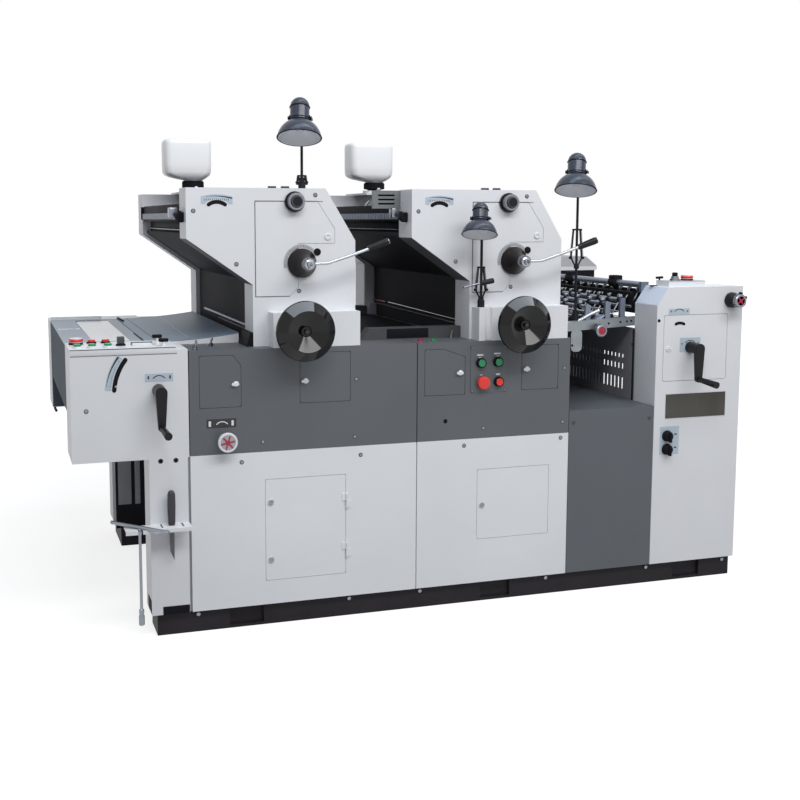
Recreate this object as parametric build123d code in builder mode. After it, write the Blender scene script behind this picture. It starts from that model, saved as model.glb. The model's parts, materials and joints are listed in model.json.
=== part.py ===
from build123d import *
import os
from math import asin, atan2, cos, degrees, radians, sin, sqrt

os.makedirs("parts", exist_ok=True)

# Two-unit offset printing press, millimetres.
# +X runs along the machine towards the feeder, +Y away from the operator, +Z up.
# The origin is the centre of the underside of the base.

# Main sizes of the machine body
half_depth = 650.0
deck_height = 900.0
base_height = 72.0
base_inset = 18.0
foot_width = 125.0
cabinet_top = deck_height - 329.0
low_box_top = cabinet_top + 76.0
delivery_reach = 109.0
unit_1_length = 751.0
unit_2_length = 560.0
feeder_bay = 336.0
tower_width = 350.0
tower_overhang = 6.0
base_length = (delivery_reach + unit_1_length + unit_2_length + feeder_bay + tower_width
               - tower_overhang)
base_half_length = base_length / 2
body_left = delivery_reach - base_half_length
unit_seam = body_left + unit_1_length
body_right = unit_seam + unit_2_length
tower_left = body_right + feeder_bay
tower_right = tower_left + tower_width
panel_gap = 3.0
running_gap = 0.3
turning_fit = 0.06

# Printing units
unit_pitch = 744.0
unit_left = body_left + 9.0
casing_thickness = 123.0
casing_outer = half_depth - 65.0
casing_inner = casing_outer - casing_thickness
casing_top = deck_height + 500.0
casing_top_right = 449.0
casing_foot_left = 209.0
casing_right = 549.0
casing_left_bottom = casing_top - 158.0
casing_step = casing_top - 304.0
casing_shoulder = casing_top - 166.0

# Controls on each unit, measured from the unit's left edge
dial_x = 369.0
dial_z = casing_top - 237.0
dial_radius = 46.0
knob_x = 346.0
knob_z = casing_top - 42.0
knob_radius = 32.0
wheel_x = 341.0
wheel_z = deck_height + 58.0
wheel_radius = 95.0
wheel_lip_radius = 66.0
wheel_lip_reach = 36.0
shaft_radius = 17.0
gear_box_left = 259.0
gear_box_right = 545.0
gear_box_height = 110.0

# Delivery end
delivery_left = body_left - 357.0
delivery_bottom = cabinet_top - 2.0
delivery_top = deck_height + 6.0
delivery_box_depth = 200.0
delivery_inner = half_depth - delivery_box_depth
cover_rise = 5.0
cover_top = delivery_top + cover_rise
cover_length = 253.0
cover_right = delivery_left + cover_length
cover_sheet = 3.0
skirt_drop = 211.0
chute_right = cover_right + 303.0
chute_rise = 22.0
column_width = 119.0
column_right = body_left - 8.0
column_left = column_right - column_width
column_depth = foot_width

# Feeder end
tower_depth = 144.0
tower_inner = half_depth - tower_depth
tower_top = deck_height + 165.0
tower_chamfer_width = 42.0
tower_chamfer_height = 64.0
guard_sheet = 3.0
guard_top = deck_height + 12.0

# Cranks
crank_arm = 108.0
crank_reach = 57.0
crank_grip = 95.0
crank_shaft_radius = 9.0
delivery_crank_x = delivery_left + 263.0
delivery_crank_z = delivery_top - 123.0
feeder_crank_x = tower_left + 137.0
feeder_crank_z = tower_top - 213.0

# Sheet-metal doors
door_sheet = 3.0
door_gap = 1.5
door_recess = 28.0
door_lip = 10.0
door_corner = 8.0

front = -half_depth


def save(part, name):
    part.label = name
    export_step(part, f"parts/{name}.step")


def unit_start(unit):
    return unit_left + unit * unit_pitch


# Corners of an upright rectangle, and of a square-cut one with its upper right corner clipped
def rectangle(left, bottom, width, height):
    return [(left, bottom), (left + width, bottom), (left + width, bottom + height),
            (left, bottom + height)]


def clipped(left, bottom, width, height, clip_width, clip_height):
    return [(left, bottom), (left + width, bottom), (left + width, bottom + height - clip_height),
            (left + width - clip_width, bottom + height), (left, bottom + height)]


# Outline of a unit casing in X and Z, from its lower left corner
def casing_points(left):
    return [
        (left + casing_foot_left, deck_height),
        (left + casing_right, deck_height),
        (left + casing_right, casing_shoulder),
        (left + casing_top_right, casing_top),
        (left, casing_top),
        (left, casing_left_bottom),
        (left + casing_foot_left, casing_step),
    ]


# Outline of the service cover on a casing
def cover_points(left):
    cover_left = left + 218
    cover_waist = left + 357
    cover_right_edge = left + 479
    return [
        (cover_left, dial_z - 105),
        (cover_waist - 28, dial_z - 105),
        (cover_waist, dial_z - 77),
        (cover_waist, dial_z + 63),
        (cover_right_edge, dial_z + 63),
        (cover_right_edge, dial_z + 108),
        (left + 422, casing_top - 41),
        (cover_left, casing_top - 41),
    ]


# Base: a full plinth under the body, with two feet reaching out under the delivery
with BuildPart() as base_plinth:
    base_half_depth = half_depth - base_inset
    with Locations(((base_half_length + body_left) / 2, 0, 0)):
        Box(base_half_length - body_left, 2 * base_half_depth, base_height,
            align=(Align.CENTER, Align.CENTER, Align.MIN))
    lift_guard_depth = 120.0
    far_foot_width = foot_width + lift_guard_depth - base_inset + panel_gap
    for start, end in ((-base_half_depth, foot_width - base_half_depth),
                       (base_half_depth - far_foot_width, base_half_depth)):
        with Locations(((body_left - base_half_length) / 2, (start + end) / 2, 0)):
            Box(body_left + base_half_length, end - start, base_height,
                align=(Align.CENTER, Align.CENTER, Align.MIN))
    fork_pocket_width = 110.0
    fork_pocket_depth = 14.0
    fork_pocket_rim = 9.0
    for side in (-1, 1):
        with Locations(*[(x, side * base_half_depth, base_height / 2)
                         for x in (body_left + 178, body_right - 262, tower_left + 162)]):
            Box(fork_pocket_width, 2 * fork_pocket_depth, base_height - 2 * fork_pocket_rim,
                mode=Mode.SUBTRACT)
save(base_plinth.part, "base_plinth")


# Outline on the front face, grown or shrunk, as the recess of a flush door needs it
def recess_outline(outline, change):
    with BuildSketch(Plane.XZ.offset(half_depth)) as face:
        with BuildLine():
            Polyline(*outline, close=True)
        make_face()
        offset(amount=change)
    return face.sketch


# Flush sheet with rounded corners and small quarter-turn latches
def sheet_door(outline, latches):
    with BuildPart() as door:
        with BuildSketch(Plane.XZ.offset(half_depth)) as face:
            with BuildLine():
                Polyline(*outline, close=True)
            make_face()
            fillet(face.vertices(), radius=door_corner)
        extrude(amount=-door_sheet)
        with BuildSketch(Plane.XZ.offset(half_depth)):
            with Locations(*latches):
                Circle(latch_radius)
        extrude(amount=latch_height)
    return door.part


# Half of an outside butt hinge: a leaf on one side of the pin line and its knuckle
def hinge_leaf(pin_x, bottom, height, side):
    pin_y = front - running_gap - hinge_radius
    with BuildPart() as leaf:
        with BuildSketch(Plane.XY.offset(bottom)):
            with Locations((pin_x, pin_y)):
                Circle(hinge_radius)
            with BuildLine():
                Polyline((pin_x, front - running_gap), (pin_x + side * hinge_standoff, front - running_gap),
                         (pin_x + side * hinge_standoff, front),
                         (pin_x + side * hinge_width, front),
                         (pin_x + side * hinge_width, front - running_gap - leaf_sheet),
                         (pin_x, front - running_gap - leaf_sheet), close=True)
            make_face()
        extrude(amount=height)
    return leaf.part


hinge_radius = 4.0
hinge_standoff = 4.0
hinge_width = 16.0
hinge_length = 48.0
hinge_gap = 0.6
leaf_sheet = 2.0
hinge_rises = (56.0, 219.0)
latch_radius = 8.0
latch_height = 4.0
latch_inset = 17.0

lower_door_1 = (body_left + 238, cabinet_top - 420, 266.0, 329.0)
lower_door_2 = (unit_seam + 219, cabinet_top - 347, 266.0, 239.0)
band_door_1 = (body_left + 32, deck_height - 180, 130.0, 162.0)
band_door_2 = (unit_seam + 27, deck_height - 176, 142.0, 152.0)
band_cover_1 = (body_left + 354, deck_height - 178, 166.0, 159.0)
band_cover_2 = (unit_seam + 378, deck_height - 171, 135.0, 150.0)
hinge_pin_x = lower_door_1[0] + lower_door_1[2] + hinge_standoff
lower_door_outlines = [rectangle(*lower_door_1), rectangle(*lower_door_2)]
lower_door_latches = [
    [(lower_door_1[0] + latch_inset, lower_door_1[1] + height) for height in (68, 256)],
    [(lower_door_2[0] + latch_inset, lower_door_2[1] + 118)],
]
band_door_outlines = [clipped(*band_door_1, 25, 33), clipped(*band_door_2, 77, 27)]
band_door_latches = [
    [(door[0] + door[2] - latch_inset, door[1] + 72)] for door in (band_door_1, band_door_2)
]
band_cover_outlines = [rectangle(*band_cover_1), rectangle(*band_cover_2)]
band_cover_latches = [
    [(cover[0] + latch_inset, cover[1] + 70)] for cover in (band_cover_1, band_cover_2)
]
housing_spans = [
    (body_left, unit_seam - panel_gap / 2),
    (unit_seam + panel_gap / 2, body_right - panel_gap / 2),
]
selector_x = body_left + 111.0
selector_z = cabinet_top + 44.0
selector_radius = 26.0
selector_shaft_radius = 10.0
selector_bore_depth = 40.0

# Lower cabinets, one under each unit
with BuildPart() as lower_cabinets:
    for (x0, x1), outline in zip(housing_spans, lower_door_outlines):
        with Locations(((x0 + x1) / 2, 0, base_height)):
            Box(x1 - x0, 2 * half_depth, cabinet_top - base_height,
                align=(Align.CENTER, Align.CENTER, Align.MIN))
        extrude(recess_outline(outline, door_gap), -(door_sheet + running_gap), mode=Mode.SUBTRACT)
        extrude(recess_outline(outline, -door_lip), -door_recess, mode=Mode.SUBTRACT)
    for rise in hinge_rises:
        add(hinge_leaf(hinge_pin_x, lower_door_1[1] + rise, hinge_length / 2 - hinge_gap, 1))
save(lower_cabinets.part, "lower_cabinets")

# Drive casings, the grey band between the cabinets and the units
with BuildPart() as drive_casings:
    for (x0, x1), door, cover in zip(housing_spans, band_door_outlines, band_cover_outlines):
        with Locations(((x0 + x1) / 2, 0, cabinet_top)):
            Box(x1 - x0, 2 * half_depth, deck_height - cabinet_top,
                align=(Align.CENTER, Align.CENTER, Align.MIN))
        for outline in (door, cover):
            extrude(recess_outline(outline, door_gap), -(door_sheet + running_gap),
                    mode=Mode.SUBTRACT)
            extrude(recess_outline(outline, -door_lip), -door_recess, mode=Mode.SUBTRACT)
    with BuildSketch(Plane.XZ.offset(half_depth)):
        with Locations((selector_x, selector_z)):
            Circle(selector_shaft_radius + turning_fit)
    extrude(amount=-selector_bore_depth, mode=Mode.SUBTRACT)
save(drive_casings.part, "drive_casings")

for unit in (0, 1):
    save(sheet_door(band_door_outlines[unit], band_door_latches[unit]), f"band_door_{unit + 1}")
    with BuildPart() as lower_door:
        add(sheet_door(lower_door_outlines[unit], lower_door_latches[unit]))
        for rise in hinge_rises if unit == 0 else ():
            add(hinge_leaf(hinge_pin_x, lower_door_1[1] + rise + hinge_length / 2,
                           hinge_length / 2 - hinge_gap, -1))
    save(lower_door.part, f"lower_door_{unit + 1}")

# Lift-off covers under the handwheels
with BuildPart() as band_covers:
    for outline, latches in zip(band_cover_outlines, band_cover_latches):
        add(sheet_door(outline, latches))
save(band_covers.part, "band_covers")

# Selector knob on the grey band
with BuildPart() as selector_knob:
    with BuildSketch(Plane.YZ):
        with BuildLine():
            Polyline(
                (0, 0),
                (selector_bore_depth - 5, 0),
                (selector_bore_depth - 5, selector_shaft_radius),
                (-running_gap, selector_shaft_radius),
                (-running_gap, selector_radius - 3),
                (-28, selector_radius),
                (-42, selector_radius),
                (-42, 0),
                close=True,
            )
        make_face()
    revolve(axis=Axis.Y)
save(selector_knob.part.moved(Location((selector_x, front, selector_z))), "selector_knob")

# Operator plate with two green and two red push buttons
plate_left = unit_seam + 189.0
plate_bottom = deck_height - 173.0
plate_width = 133.0
plate_height = 159.0
plate_sheet = 2.0
button_radius = 15.0
button_height = 12.0
stop_radius = 21.0
stop_height = 18.0
with BuildPart() as control_plate:
    with Locations((plate_left + plate_width / 2, front - plate_sheet / 2,
                    plate_bottom + plate_height / 2)):
        Box(plate_width, plate_sheet, plate_height)
    with BuildSketch(Plane.XZ.offset(half_depth + plate_sheet)):
        with Locations((plate_left + 36, plate_bottom + 100), (plate_left + 98, plate_bottom + 101),
                       (plate_left + 101, plate_bottom + 34)):
            Circle(button_radius)
    extrude(amount=button_height)
    with BuildSketch(Plane.XZ.offset(half_depth + plate_sheet)):
        with Locations((plate_left + 43, plate_bottom + 33)):
            Circle(stop_radius)
    extrude(amount=stop_height)
save(control_plate.part, "control_plate")

# Unit casings and what turns in them
unit_lefts = (unit_start(0), unit_start(1))
shaft_fit_radius = shaft_radius + turning_fit
dial_shaft_radius = 12.0
knob_shaft_radius = 8.0
stub_length = 45.0

for unit in (0, 1):
    left = unit_start(unit)
    number = unit + 1
    turn_x = left + wheel_x

    # Side casings on both sides of the unit
    with BuildPart() as casings:
        for start in (casing_inner, -casing_outer):
            with BuildSketch(Plane.XZ.offset(start)):
                with BuildLine():
                    Polyline(*casing_points(left), close=True)
                make_face()
            extrude(amount=casing_thickness)
        with BuildSketch(Plane.XZ.offset(casing_outer)):
            with BuildLine():
                Polyline(*cover_points(left), close=True)
            make_face()
            offset(amount=door_gap)
        extrude(amount=-(door_sheet + running_gap), mode=Mode.SUBTRACT)
        with BuildSketch(Plane.XZ.offset(casing_outer)):
            with Locations((left + dial_x, dial_z)):
                Circle(dial_shaft_radius + turning_fit)
            with Locations((left + knob_x, knob_z)):
                Circle(knob_shaft_radius + turning_fit)
        extrude(amount=-(stub_length + 3), mode=Mode.SUBTRACT)
        with BuildSketch(Plane.XZ.offset(casing_outer)):
            with Locations((turn_x, wheel_z)):
                Circle(shaft_fit_radius)
        extrude(amount=-(casing_outer + casing_inner + stub_length + 3), mode=Mode.SUBTRACT)
    save(casings.part, f"unit{number}_casings")

    # Cross shaft with its cylinder, turned by the handwheel
    cylinder_radius = 50.0
    cylinder_end_gap = 6.0
    shaft_front = -(half_depth + 62)
    rim_y = shaft_front - 22
    with BuildPart() as cross_shaft:
        with BuildSketch(Plane.YZ):
            with BuildLine():
                Polyline(
                    (shaft_front, 0),
                    (shaft_front, shaft_radius),
                    (-(casing_inner - cylinder_end_gap), shaft_radius),
                    (-(casing_inner - cylinder_end_gap), cylinder_radius),
                    (casing_inner - cylinder_end_gap, cylinder_radius),
                    (casing_inner - cylinder_end_gap, shaft_radius),
                    (casing_inner + stub_length, shaft_radius),
                    (casing_inner + stub_length, 0),
                    close=True,
                )
            make_face()
        revolve(axis=Axis.Y)
    save(cross_shaft.part.moved(Location((turn_x, 0, wheel_z))), f"cross_shaft_{number}")

    # Dished handwheel with a taper round its rim
    with BuildPart() as handwheel:
        with BuildSketch(Plane.YZ):
            with BuildLine():
                Polyline(
                    (shaft_front, 0),
                    (shaft_front, 24),
                    (shaft_front - 4, 60),
                    (rim_y + 7, wheel_radius - 2),
                    (rim_y, wheel_radius),
                    (rim_y - 7, wheel_radius - 2),
                    (rim_y - wheel_lip_reach, wheel_lip_radius),
                    (rim_y - wheel_lip_reach + 1, wheel_lip_radius - 3),
                    (rim_y - 8, shaft_radius),
                    (rim_y - 6, shaft_radius - 2),
                    (rim_y - 6, 8),
                    (rim_y - 13, 7),
                    (rim_y - 13, 0),
                    close=True,
                )
            make_face()
        revolve(axis=Axis.Y)
    save(handwheel.part.moved(Location((turn_x, 0, wheel_z))), f"handwheel_{number}")

    # Impression lever: coned boss, cranked chrome rod and a black grip
    boss_front = -casing_outer - 96.0
    with BuildPart() as lever:
        with BuildSketch(Plane.YZ):
            with BuildLine():
                Polyline(
                    (-casing_outer + stub_length, 0),
                    (-casing_outer + stub_length, dial_shaft_radius),
                    (-casing_outer - running_gap, dial_shaft_radius),
                    (-casing_outer - running_gap, dial_radius),
                    (-casing_outer - 10, dial_radius),
                    (-casing_outer - 30, 24),
                    (boss_front + 22, 18),
                    (boss_front, 18),
                    (boss_front - 4, 11),
                    (boss_front - 16, 9),
                    (boss_front - 16, 0),
                    close=True,
                )
            make_face()
        revolve(axis=Axis.Y)
        with BuildLine() as rod_line:
            FilletPolyline((0, boss_front + 8, 0), (62, boss_front + 8, 2),
                           (150, boss_front + 6, 30), (200, boss_front + 2, 48), radius=40)
        with BuildSketch(Plane(origin=rod_line.line @ 0, z_dir=rod_line.line % 0)):
            Circle(5)
        sweep(path=rod_line.line)
        tip = rod_line.line @ 1
        way = rod_line.line % 1
        with BuildSketch(Plane(origin=tip - way * 6, z_dir=way)):
            Circle(8)
        extrude(amount=70, taper=-2)
    save(lever.part.moved(Location((left + dial_x, 0, dial_z))), f"impression_lever_{number}")

    # Register knob at the top edge of the casing
    with BuildPart() as register_knob:
        with BuildSketch(Plane.YZ):
            with BuildLine():
                Polyline(
                    (-casing_outer + stub_length, 0),
                    (-casing_outer + stub_length, knob_shaft_radius),
                    (-casing_outer - running_gap, knob_shaft_radius),
                    (-casing_outer - running_gap, knob_radius),
                    (-casing_outer - 9, knob_radius),
                    (-casing_outer - 9, 26),
                    (-casing_outer - 30, 26),
                    (-casing_outer - 32, 18),
                    (-casing_outer - 38, 17),
                    (-casing_outer - 38, 0),
                    close=True,
                )
            make_face()
        revolve(axis=Axis.Y)
    save(register_knob.part.moved(Location((left + knob_x, 0, knob_z))), f"register_knob_{number}")

# Service covers let into the near casings
with BuildPart() as service_covers:
    for left in unit_lefts:
        with BuildSketch(Plane.XZ.offset(casing_outer)):
            with BuildLine():
                Polyline(*cover_points(left), close=True)
            make_face()
            with Locations((left + dial_x, dial_z)):
                Circle(dial_radius + 4, mode=Mode.SUBTRACT)
            with Locations((left + knob_x, knob_z)):
                Circle(knob_radius + 3, mode=Mode.SUBTRACT)
        extrude(amount=-door_sheet)
save(service_covers.part, "service_covers")

# White boxes behind the handwheels; the second has the scooped lug of the lamp
lug_width = 42.0
gear_box_depth = half_depth - casing_outer
gear_box_top = deck_height + gear_box_height
with BuildPart() as gear_boxes:
    for left, lug in zip(unit_lefts, (0, lug_width)):
        with Locations((left + (gear_box_left - lug + gear_box_right) / 2,
                        front + gear_box_depth / 2, deck_height + gear_box_height / 2)):
            Box(gear_box_right - gear_box_left + lug, gear_box_depth, gear_box_height)
        with BuildSketch(Plane.XZ.offset(half_depth)):
            with Locations((left + wheel_x, wheel_z)):
                Circle(shaft_fit_radius)
        extrude(amount=-gear_box_depth, mode=Mode.SUBTRACT)
    with BuildSketch(Plane.XY.offset(deck_height)):
        with Locations((unit_lefts[1] + gear_box_left - 8, front)):
            Circle(12)
    extrude(amount=gear_box_height, mode=Mode.SUBTRACT)
save(gear_boxes.part, "gear_boxes")

# Bent black guards that close the delivery side of each unit between its casings
guard_inset = 16.0
guard_thickness = 3.0
with BuildPart() as inner_guards:
    for left in unit_lefts:
        guard_foot = left + casing_foot_left + guard_inset
        with BuildSketch(Plane.XZ.offset(-casing_inner)):
            with BuildLine():
                Polyline(
                    (left + guard_inset, casing_left_bottom + guard_inset),
                    (left + guard_inset, casing_left_bottom + 6),
                    (guard_foot, casing_step + 6),
                    (guard_foot, deck_height),
                    (guard_foot + guard_thickness, deck_height),
                    (guard_foot + guard_thickness, casing_step + 8),
                    (left + guard_inset + guard_thickness, casing_left_bottom + 8),
                    (left + guard_inset + guard_thickness, casing_left_bottom + guard_inset),
                    close=True,
                )
            make_face()
        extrude(amount=2 * casing_inner)
save(inner_guards.part, "inner_guards")

# Ink fountains across the upper end of each unit, with their end blocks
fountain_front = 26.0
fountain_back = 70.0
fountain_z = casing_top - 116.0
fountain_height = 46.0
end_block = 44.0
end_block_y = casing_outer - 83.0
pin_block_y = casing_inner + 9.0
with BuildPart() as ink_fountains:
    for left in unit_lefts:
        with BuildSketch(Plane.XZ.offset(-casing_inner)):
            with BuildLine():
                Polyline(
                    (left - fountain_front, fountain_z + 34),
                    (left - fountain_front + 6, fountain_z + 16),
                    (left + 30, fountain_z),
                    (left + fountain_back, fountain_z),
                    (left + fountain_back, fountain_z + 12),
                    (left + 34, fountain_z + 12),
                    (left - fountain_front + 20, fountain_z + 28),
                    (left - fountain_front + 20, fountain_z + fountain_height),
                    (left - fountain_front, fountain_z + fountain_height),
                    close=True,
                )
            make_face()
        extrude(amount=2 * casing_inner)
        for side in (-1, 1):
            with Locations((left - end_block / 2, side * end_block_y, fountain_z + 34)):
                Box(end_block, end_block, 34)
            with Locations((left - 18, side * pin_block_y, fountain_z + 37)):
                Box(16, 18, 16)
save(ink_fountains.part, "ink_fountains")

# Inking rollers and tie bars between the casings: place from the left edge, drop, radius
inker_roller_places = (
    (40, 44, 26), (110, 66, 32), (180, 38, 28), (250, 82, 34), (330, 60, 30), (400, 120, 32),
)
with BuildPart() as inker_rollers:
    for left in unit_lefts:
        for x, drop, radius in inker_roller_places:
            with BuildSketch(Plane.XZ.offset(-casing_inner)):
                with Locations((left + x, casing_top - drop)):
                    Circle(radius)
            extrude(amount=2 * casing_inner)
save(inker_rollers.part, "inker_rollers")

# Bottle seats: a bracket from each far casing with a ring for the cap
bottle_offset = 157.0
neck_offset = bottle_offset + 24.0
bottle_y = casing_outer - 250.0
seat_sheet = 8.0
seat_ring = 10.0
neck_radius = 40.0
with BuildPart() as bottle_seats:
    for left in unit_lefts:
        seat_back = casing_outer - 20
        seat_front = bottle_y - 55
        with Locations((left + neck_offset, (seat_front + seat_back) / 2, casing_top)):
            Box(100, seat_back - seat_front, seat_sheet,
                align=(Align.CENTER, Align.CENTER, Align.MIN))
        with BuildSketch(Plane.XY.offset(casing_top + seat_sheet)):
            with Locations((left + neck_offset, bottle_y)):
                Circle(neck_radius + 6)
                Circle(neck_radius + running_gap, mode=Mode.SUBTRACT)
        extrude(amount=seat_ring)
save(bottle_seats.part, "bottle_seats")

# Fountain solution bottles, standing on their caps
bottle_width = 180.0
bottle_depth = 120.0
bottle_height = 158.0
bottle_corner = 26.0
shoulder_rise = 26.0
cap_height = 34.0
throat_height = 8.0
throat_radius = 28.0
cap_bottom = casing_top + seat_sheet + running_gap
bottle_base = cap_bottom + cap_height + throat_height
with BuildPart() as water_bottles:
    for left in unit_lefts:
        bottle_x = left + bottle_offset
        neck_x = left + neck_offset
        with BuildSketch(Plane.XZ.offset(-(bottle_y + bottle_depth / 2))):
            with BuildLine():
                Polyline(
                    (bottle_x - bottle_width / 2, bottle_base + shoulder_rise + 4),
                    (neck_x - 34, bottle_base),
                    (neck_x + 34, bottle_base),
                    (bottle_x + bottle_width / 2, bottle_base + shoulder_rise - 4),
                    (bottle_x + bottle_width / 2, bottle_base + bottle_height),
                    (bottle_x - bottle_width / 2, bottle_base + bottle_height),
                    close=True,
                )
            make_face()
        extrude(amount=bottle_depth)
        fillet(water_bottles.edges(Select.LAST).filter_by(Axis.Z), radius=bottle_corner)
        with BuildSketch(Plane.XY.offset(cap_bottom)):
            with Locations((neck_x, bottle_y)):
                Circle(neck_radius)
        extrude(amount=cap_height)
        with BuildSketch(Plane.XY.offset(cap_bottom + cap_height)):
            with Locations((neck_x, bottle_y)):
                Circle(throat_radius)
        extrude(amount=throat_height)
save(water_bottles.part, "water_bottles")

# Louvred bracket on the delivery edge of unit 2's near casing
bracket_length = 100.0
bracket_height = 60.0
bracket_sheet = 8.0
bracket_y = casing_inner + 14.0
bracket_z = casing_top - 32.0
louvre_pitch = 14.0
with BuildPart() as duct_bracket:
    with BuildSketch(Plane.XZ.offset(bracket_y)):
        with Locations((unit_lefts[1] - bracket_length / 2, bracket_z)):
            Rectangle(bracket_length, bracket_height)
        with Locations(*[(unit_lefts[1] - bracket_length / 2, bracket_z + row * louvre_pitch)
                         for row in (-1, 0, 1)]):
            SlotOverall(60, 6, mode=Mode.SUBTRACT)
    extrude(amount=-bracket_sheet)
save(duct_bracket.part, "duct_bracket")

# Low beams along the deck between the units, one on each side, with a raked left end
beam_depth = 50.0
beam_height = 38.0
beam_rake = 24.0
beam_left = unit_start(0) + casing_right + 48.0
beam_right = unit_start(1) + casing_foot_left - running_gap
with BuildPart() as deck_rail:
    for back in (-casing_inner, casing_inner + beam_depth):
        with BuildSketch(Plane.XZ.offset(-back)):
            with BuildLine():
                Polyline((beam_left, deck_height), (beam_right, deck_height),
                         (beam_right, deck_height + beam_height),
                         (beam_left + beam_rake, deck_height + beam_height), close=True)
            make_face()
        extrude(amount=beam_depth)
save(deck_rail.part, "deck_rail")

# Delivery boxes
delivery_right = body_left - panel_gap
with BuildPart() as delivery_boxes:
    for side in (-1, 1):
        with Locations(((delivery_left + delivery_right) / 2,
                        side * (half_depth + delivery_inner) / 2,
                        (delivery_bottom + delivery_top) / 2)):
            Box(delivery_right - delivery_left, delivery_box_depth,
                delivery_top - delivery_bottom)
    with BuildSketch(Plane.XZ.offset(half_depth)):
        with Locations((delivery_crank_x, delivery_crank_z)):
            Circle(crank_shaft_radius + turning_fit)
    extrude(amount=-stub_length, mode=Mode.SUBTRACT)
save(delivery_boxes.part, "delivery_boxes")

# Columns under the delivery boxes
with BuildPart() as delivery_columns:
    for side in (-1, 1):
        with Locations(((column_left + column_right) / 2,
                        side * (half_depth - column_depth / 2),
                        (base_height + delivery_bottom) / 2)):
            Box(column_right - column_left, column_depth, delivery_bottom - base_height)
save(delivery_columns.part, "delivery_columns")

# Grey cover over the delivery pile, with its skirt and the window opening
window_width = 120.0
window_edge = 42.0
window_x = cover_right - window_edge - window_width / 2
window_margin = 60.0
window_length = 2 * (delivery_inner - window_margin)
with BuildPart() as delivery_cover:
    with Locations((delivery_left + cover_length / 2, 0, cover_top - cover_sheet / 2)):
        Box(cover_length, 2 * delivery_inner, cover_sheet)
    with Locations((delivery_left + cover_sheet / 2, 0, cover_top - skirt_drop / 2)):
        Box(cover_sheet, 2 * delivery_inner, skirt_drop)
    with Locations((window_x, 0, cover_top)):
        Box(window_width, window_length, 4 * cover_sheet, mode=Mode.SUBTRACT)
save(delivery_cover.part, "delivery_cover")

with BuildPart() as delivery_window:
    with Locations((window_x, 0, cover_top - cover_sheet / 2)):
        Box(window_width - 2 * running_gap, window_length - 2 * running_gap, cover_sheet)
save(delivery_window.part, "delivery_window")

# Curved chute from the cover up to unit 1
with BuildPart() as delivery_chute:
    with BuildSketch(Plane.XZ.offset(-delivery_inner)):
        with BuildLine():
            rise = TangentArc((cover_right, cover_top - cover_sheet),
                              (chute_right, cover_top - cover_sheet + chute_rise), tangent=(1, 0))
            Line(rise @ 1, (chute_right, cover_top + chute_rise))
            back = TangentArc((cover_right, cover_top), (chute_right, cover_top + chute_rise),
                              tangent=(1, 0))
            Line((cover_right, cover_top), (cover_right, cover_top - cover_sheet))
        make_face()
    extrude(amount=2 * delivery_inner)
save(delivery_chute.part, "delivery_chute")

# White side strips that carry the chute
with BuildPart() as chute_sides:
    strip = 12.0
    for side in (-1, 1):
        with BuildSketch(Plane.XZ.offset(-side * delivery_inner + (0 if side > 0 else -strip))):
            with BuildLine():
                foot = Line((body_left, deck_height), (chute_right, deck_height))
                rise = TangentArc((cover_right, cover_top - cover_sheet - running_gap),
                                  (chute_right, cover_top - cover_sheet - running_gap + chute_rise),
                                  tangent=(1, 0))
                Line(foot @ 1, rise @ 1)
                Line(foot @ 0, (body_left, delivery_top - 2))
                Line((body_left, delivery_top - 2), (cover_right, delivery_top))
                Line((cover_right, delivery_top), rise @ 0)
            make_face()
        extrude(amount=strip)
save(chute_sides.part, "chute_sides")

# Raised ledge of the delivery buttons, on top of the near box
ledge_length = 323.0
ledge_height = 10.0
ledge_depth = 190.0
ledge_inset = 4.0
ledge_middle = front + ledge_inset + ledge_depth / 2
ledge_top = delivery_top + ledge_height
mushroom_radius = 20.0
mushroom_height = 20.0
push_radius = 11.0
push_height = 10.0
front_row = front + 45.0
back_row = front + 165.0
mushroom_place = (30.0, front + 145.0)
with BuildPart() as control_ledge:
    with Locations((delivery_left + ledge_length / 2, ledge_middle,
                    delivery_top + ledge_height / 2)):
        Box(ledge_length, ledge_depth, ledge_height)
    with BuildSketch(Plane.XY.offset(ledge_top)):
        with Locations((delivery_left + mushroom_place[0], mushroom_place[1])):
            Circle(mushroom_radius)
    extrude(amount=mushroom_height)
    with BuildSketch(Plane.XY.offset(ledge_top)):
        with Locations(*[(delivery_left + x, front_row) for x in (27, 71, 118)],
                       *[(delivery_left + x, back_row) for x in (79, 122)]):
            Circle(push_radius)
    extrude(amount=push_height)
save(control_ledge.part, "control_ledge")

# Dark guard over the lift drive beside the far column
with BuildPart() as delivery_guard:
    with Locations(((column_left + column_right) / 2,
                    half_depth - column_depth - lift_guard_depth / 2,
                    (base_height + delivery_bottom) / 2)):
        Box(column_width, lift_guard_depth, delivery_bottom - base_height)
save(delivery_guard.part, "delivery_guard")

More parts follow.
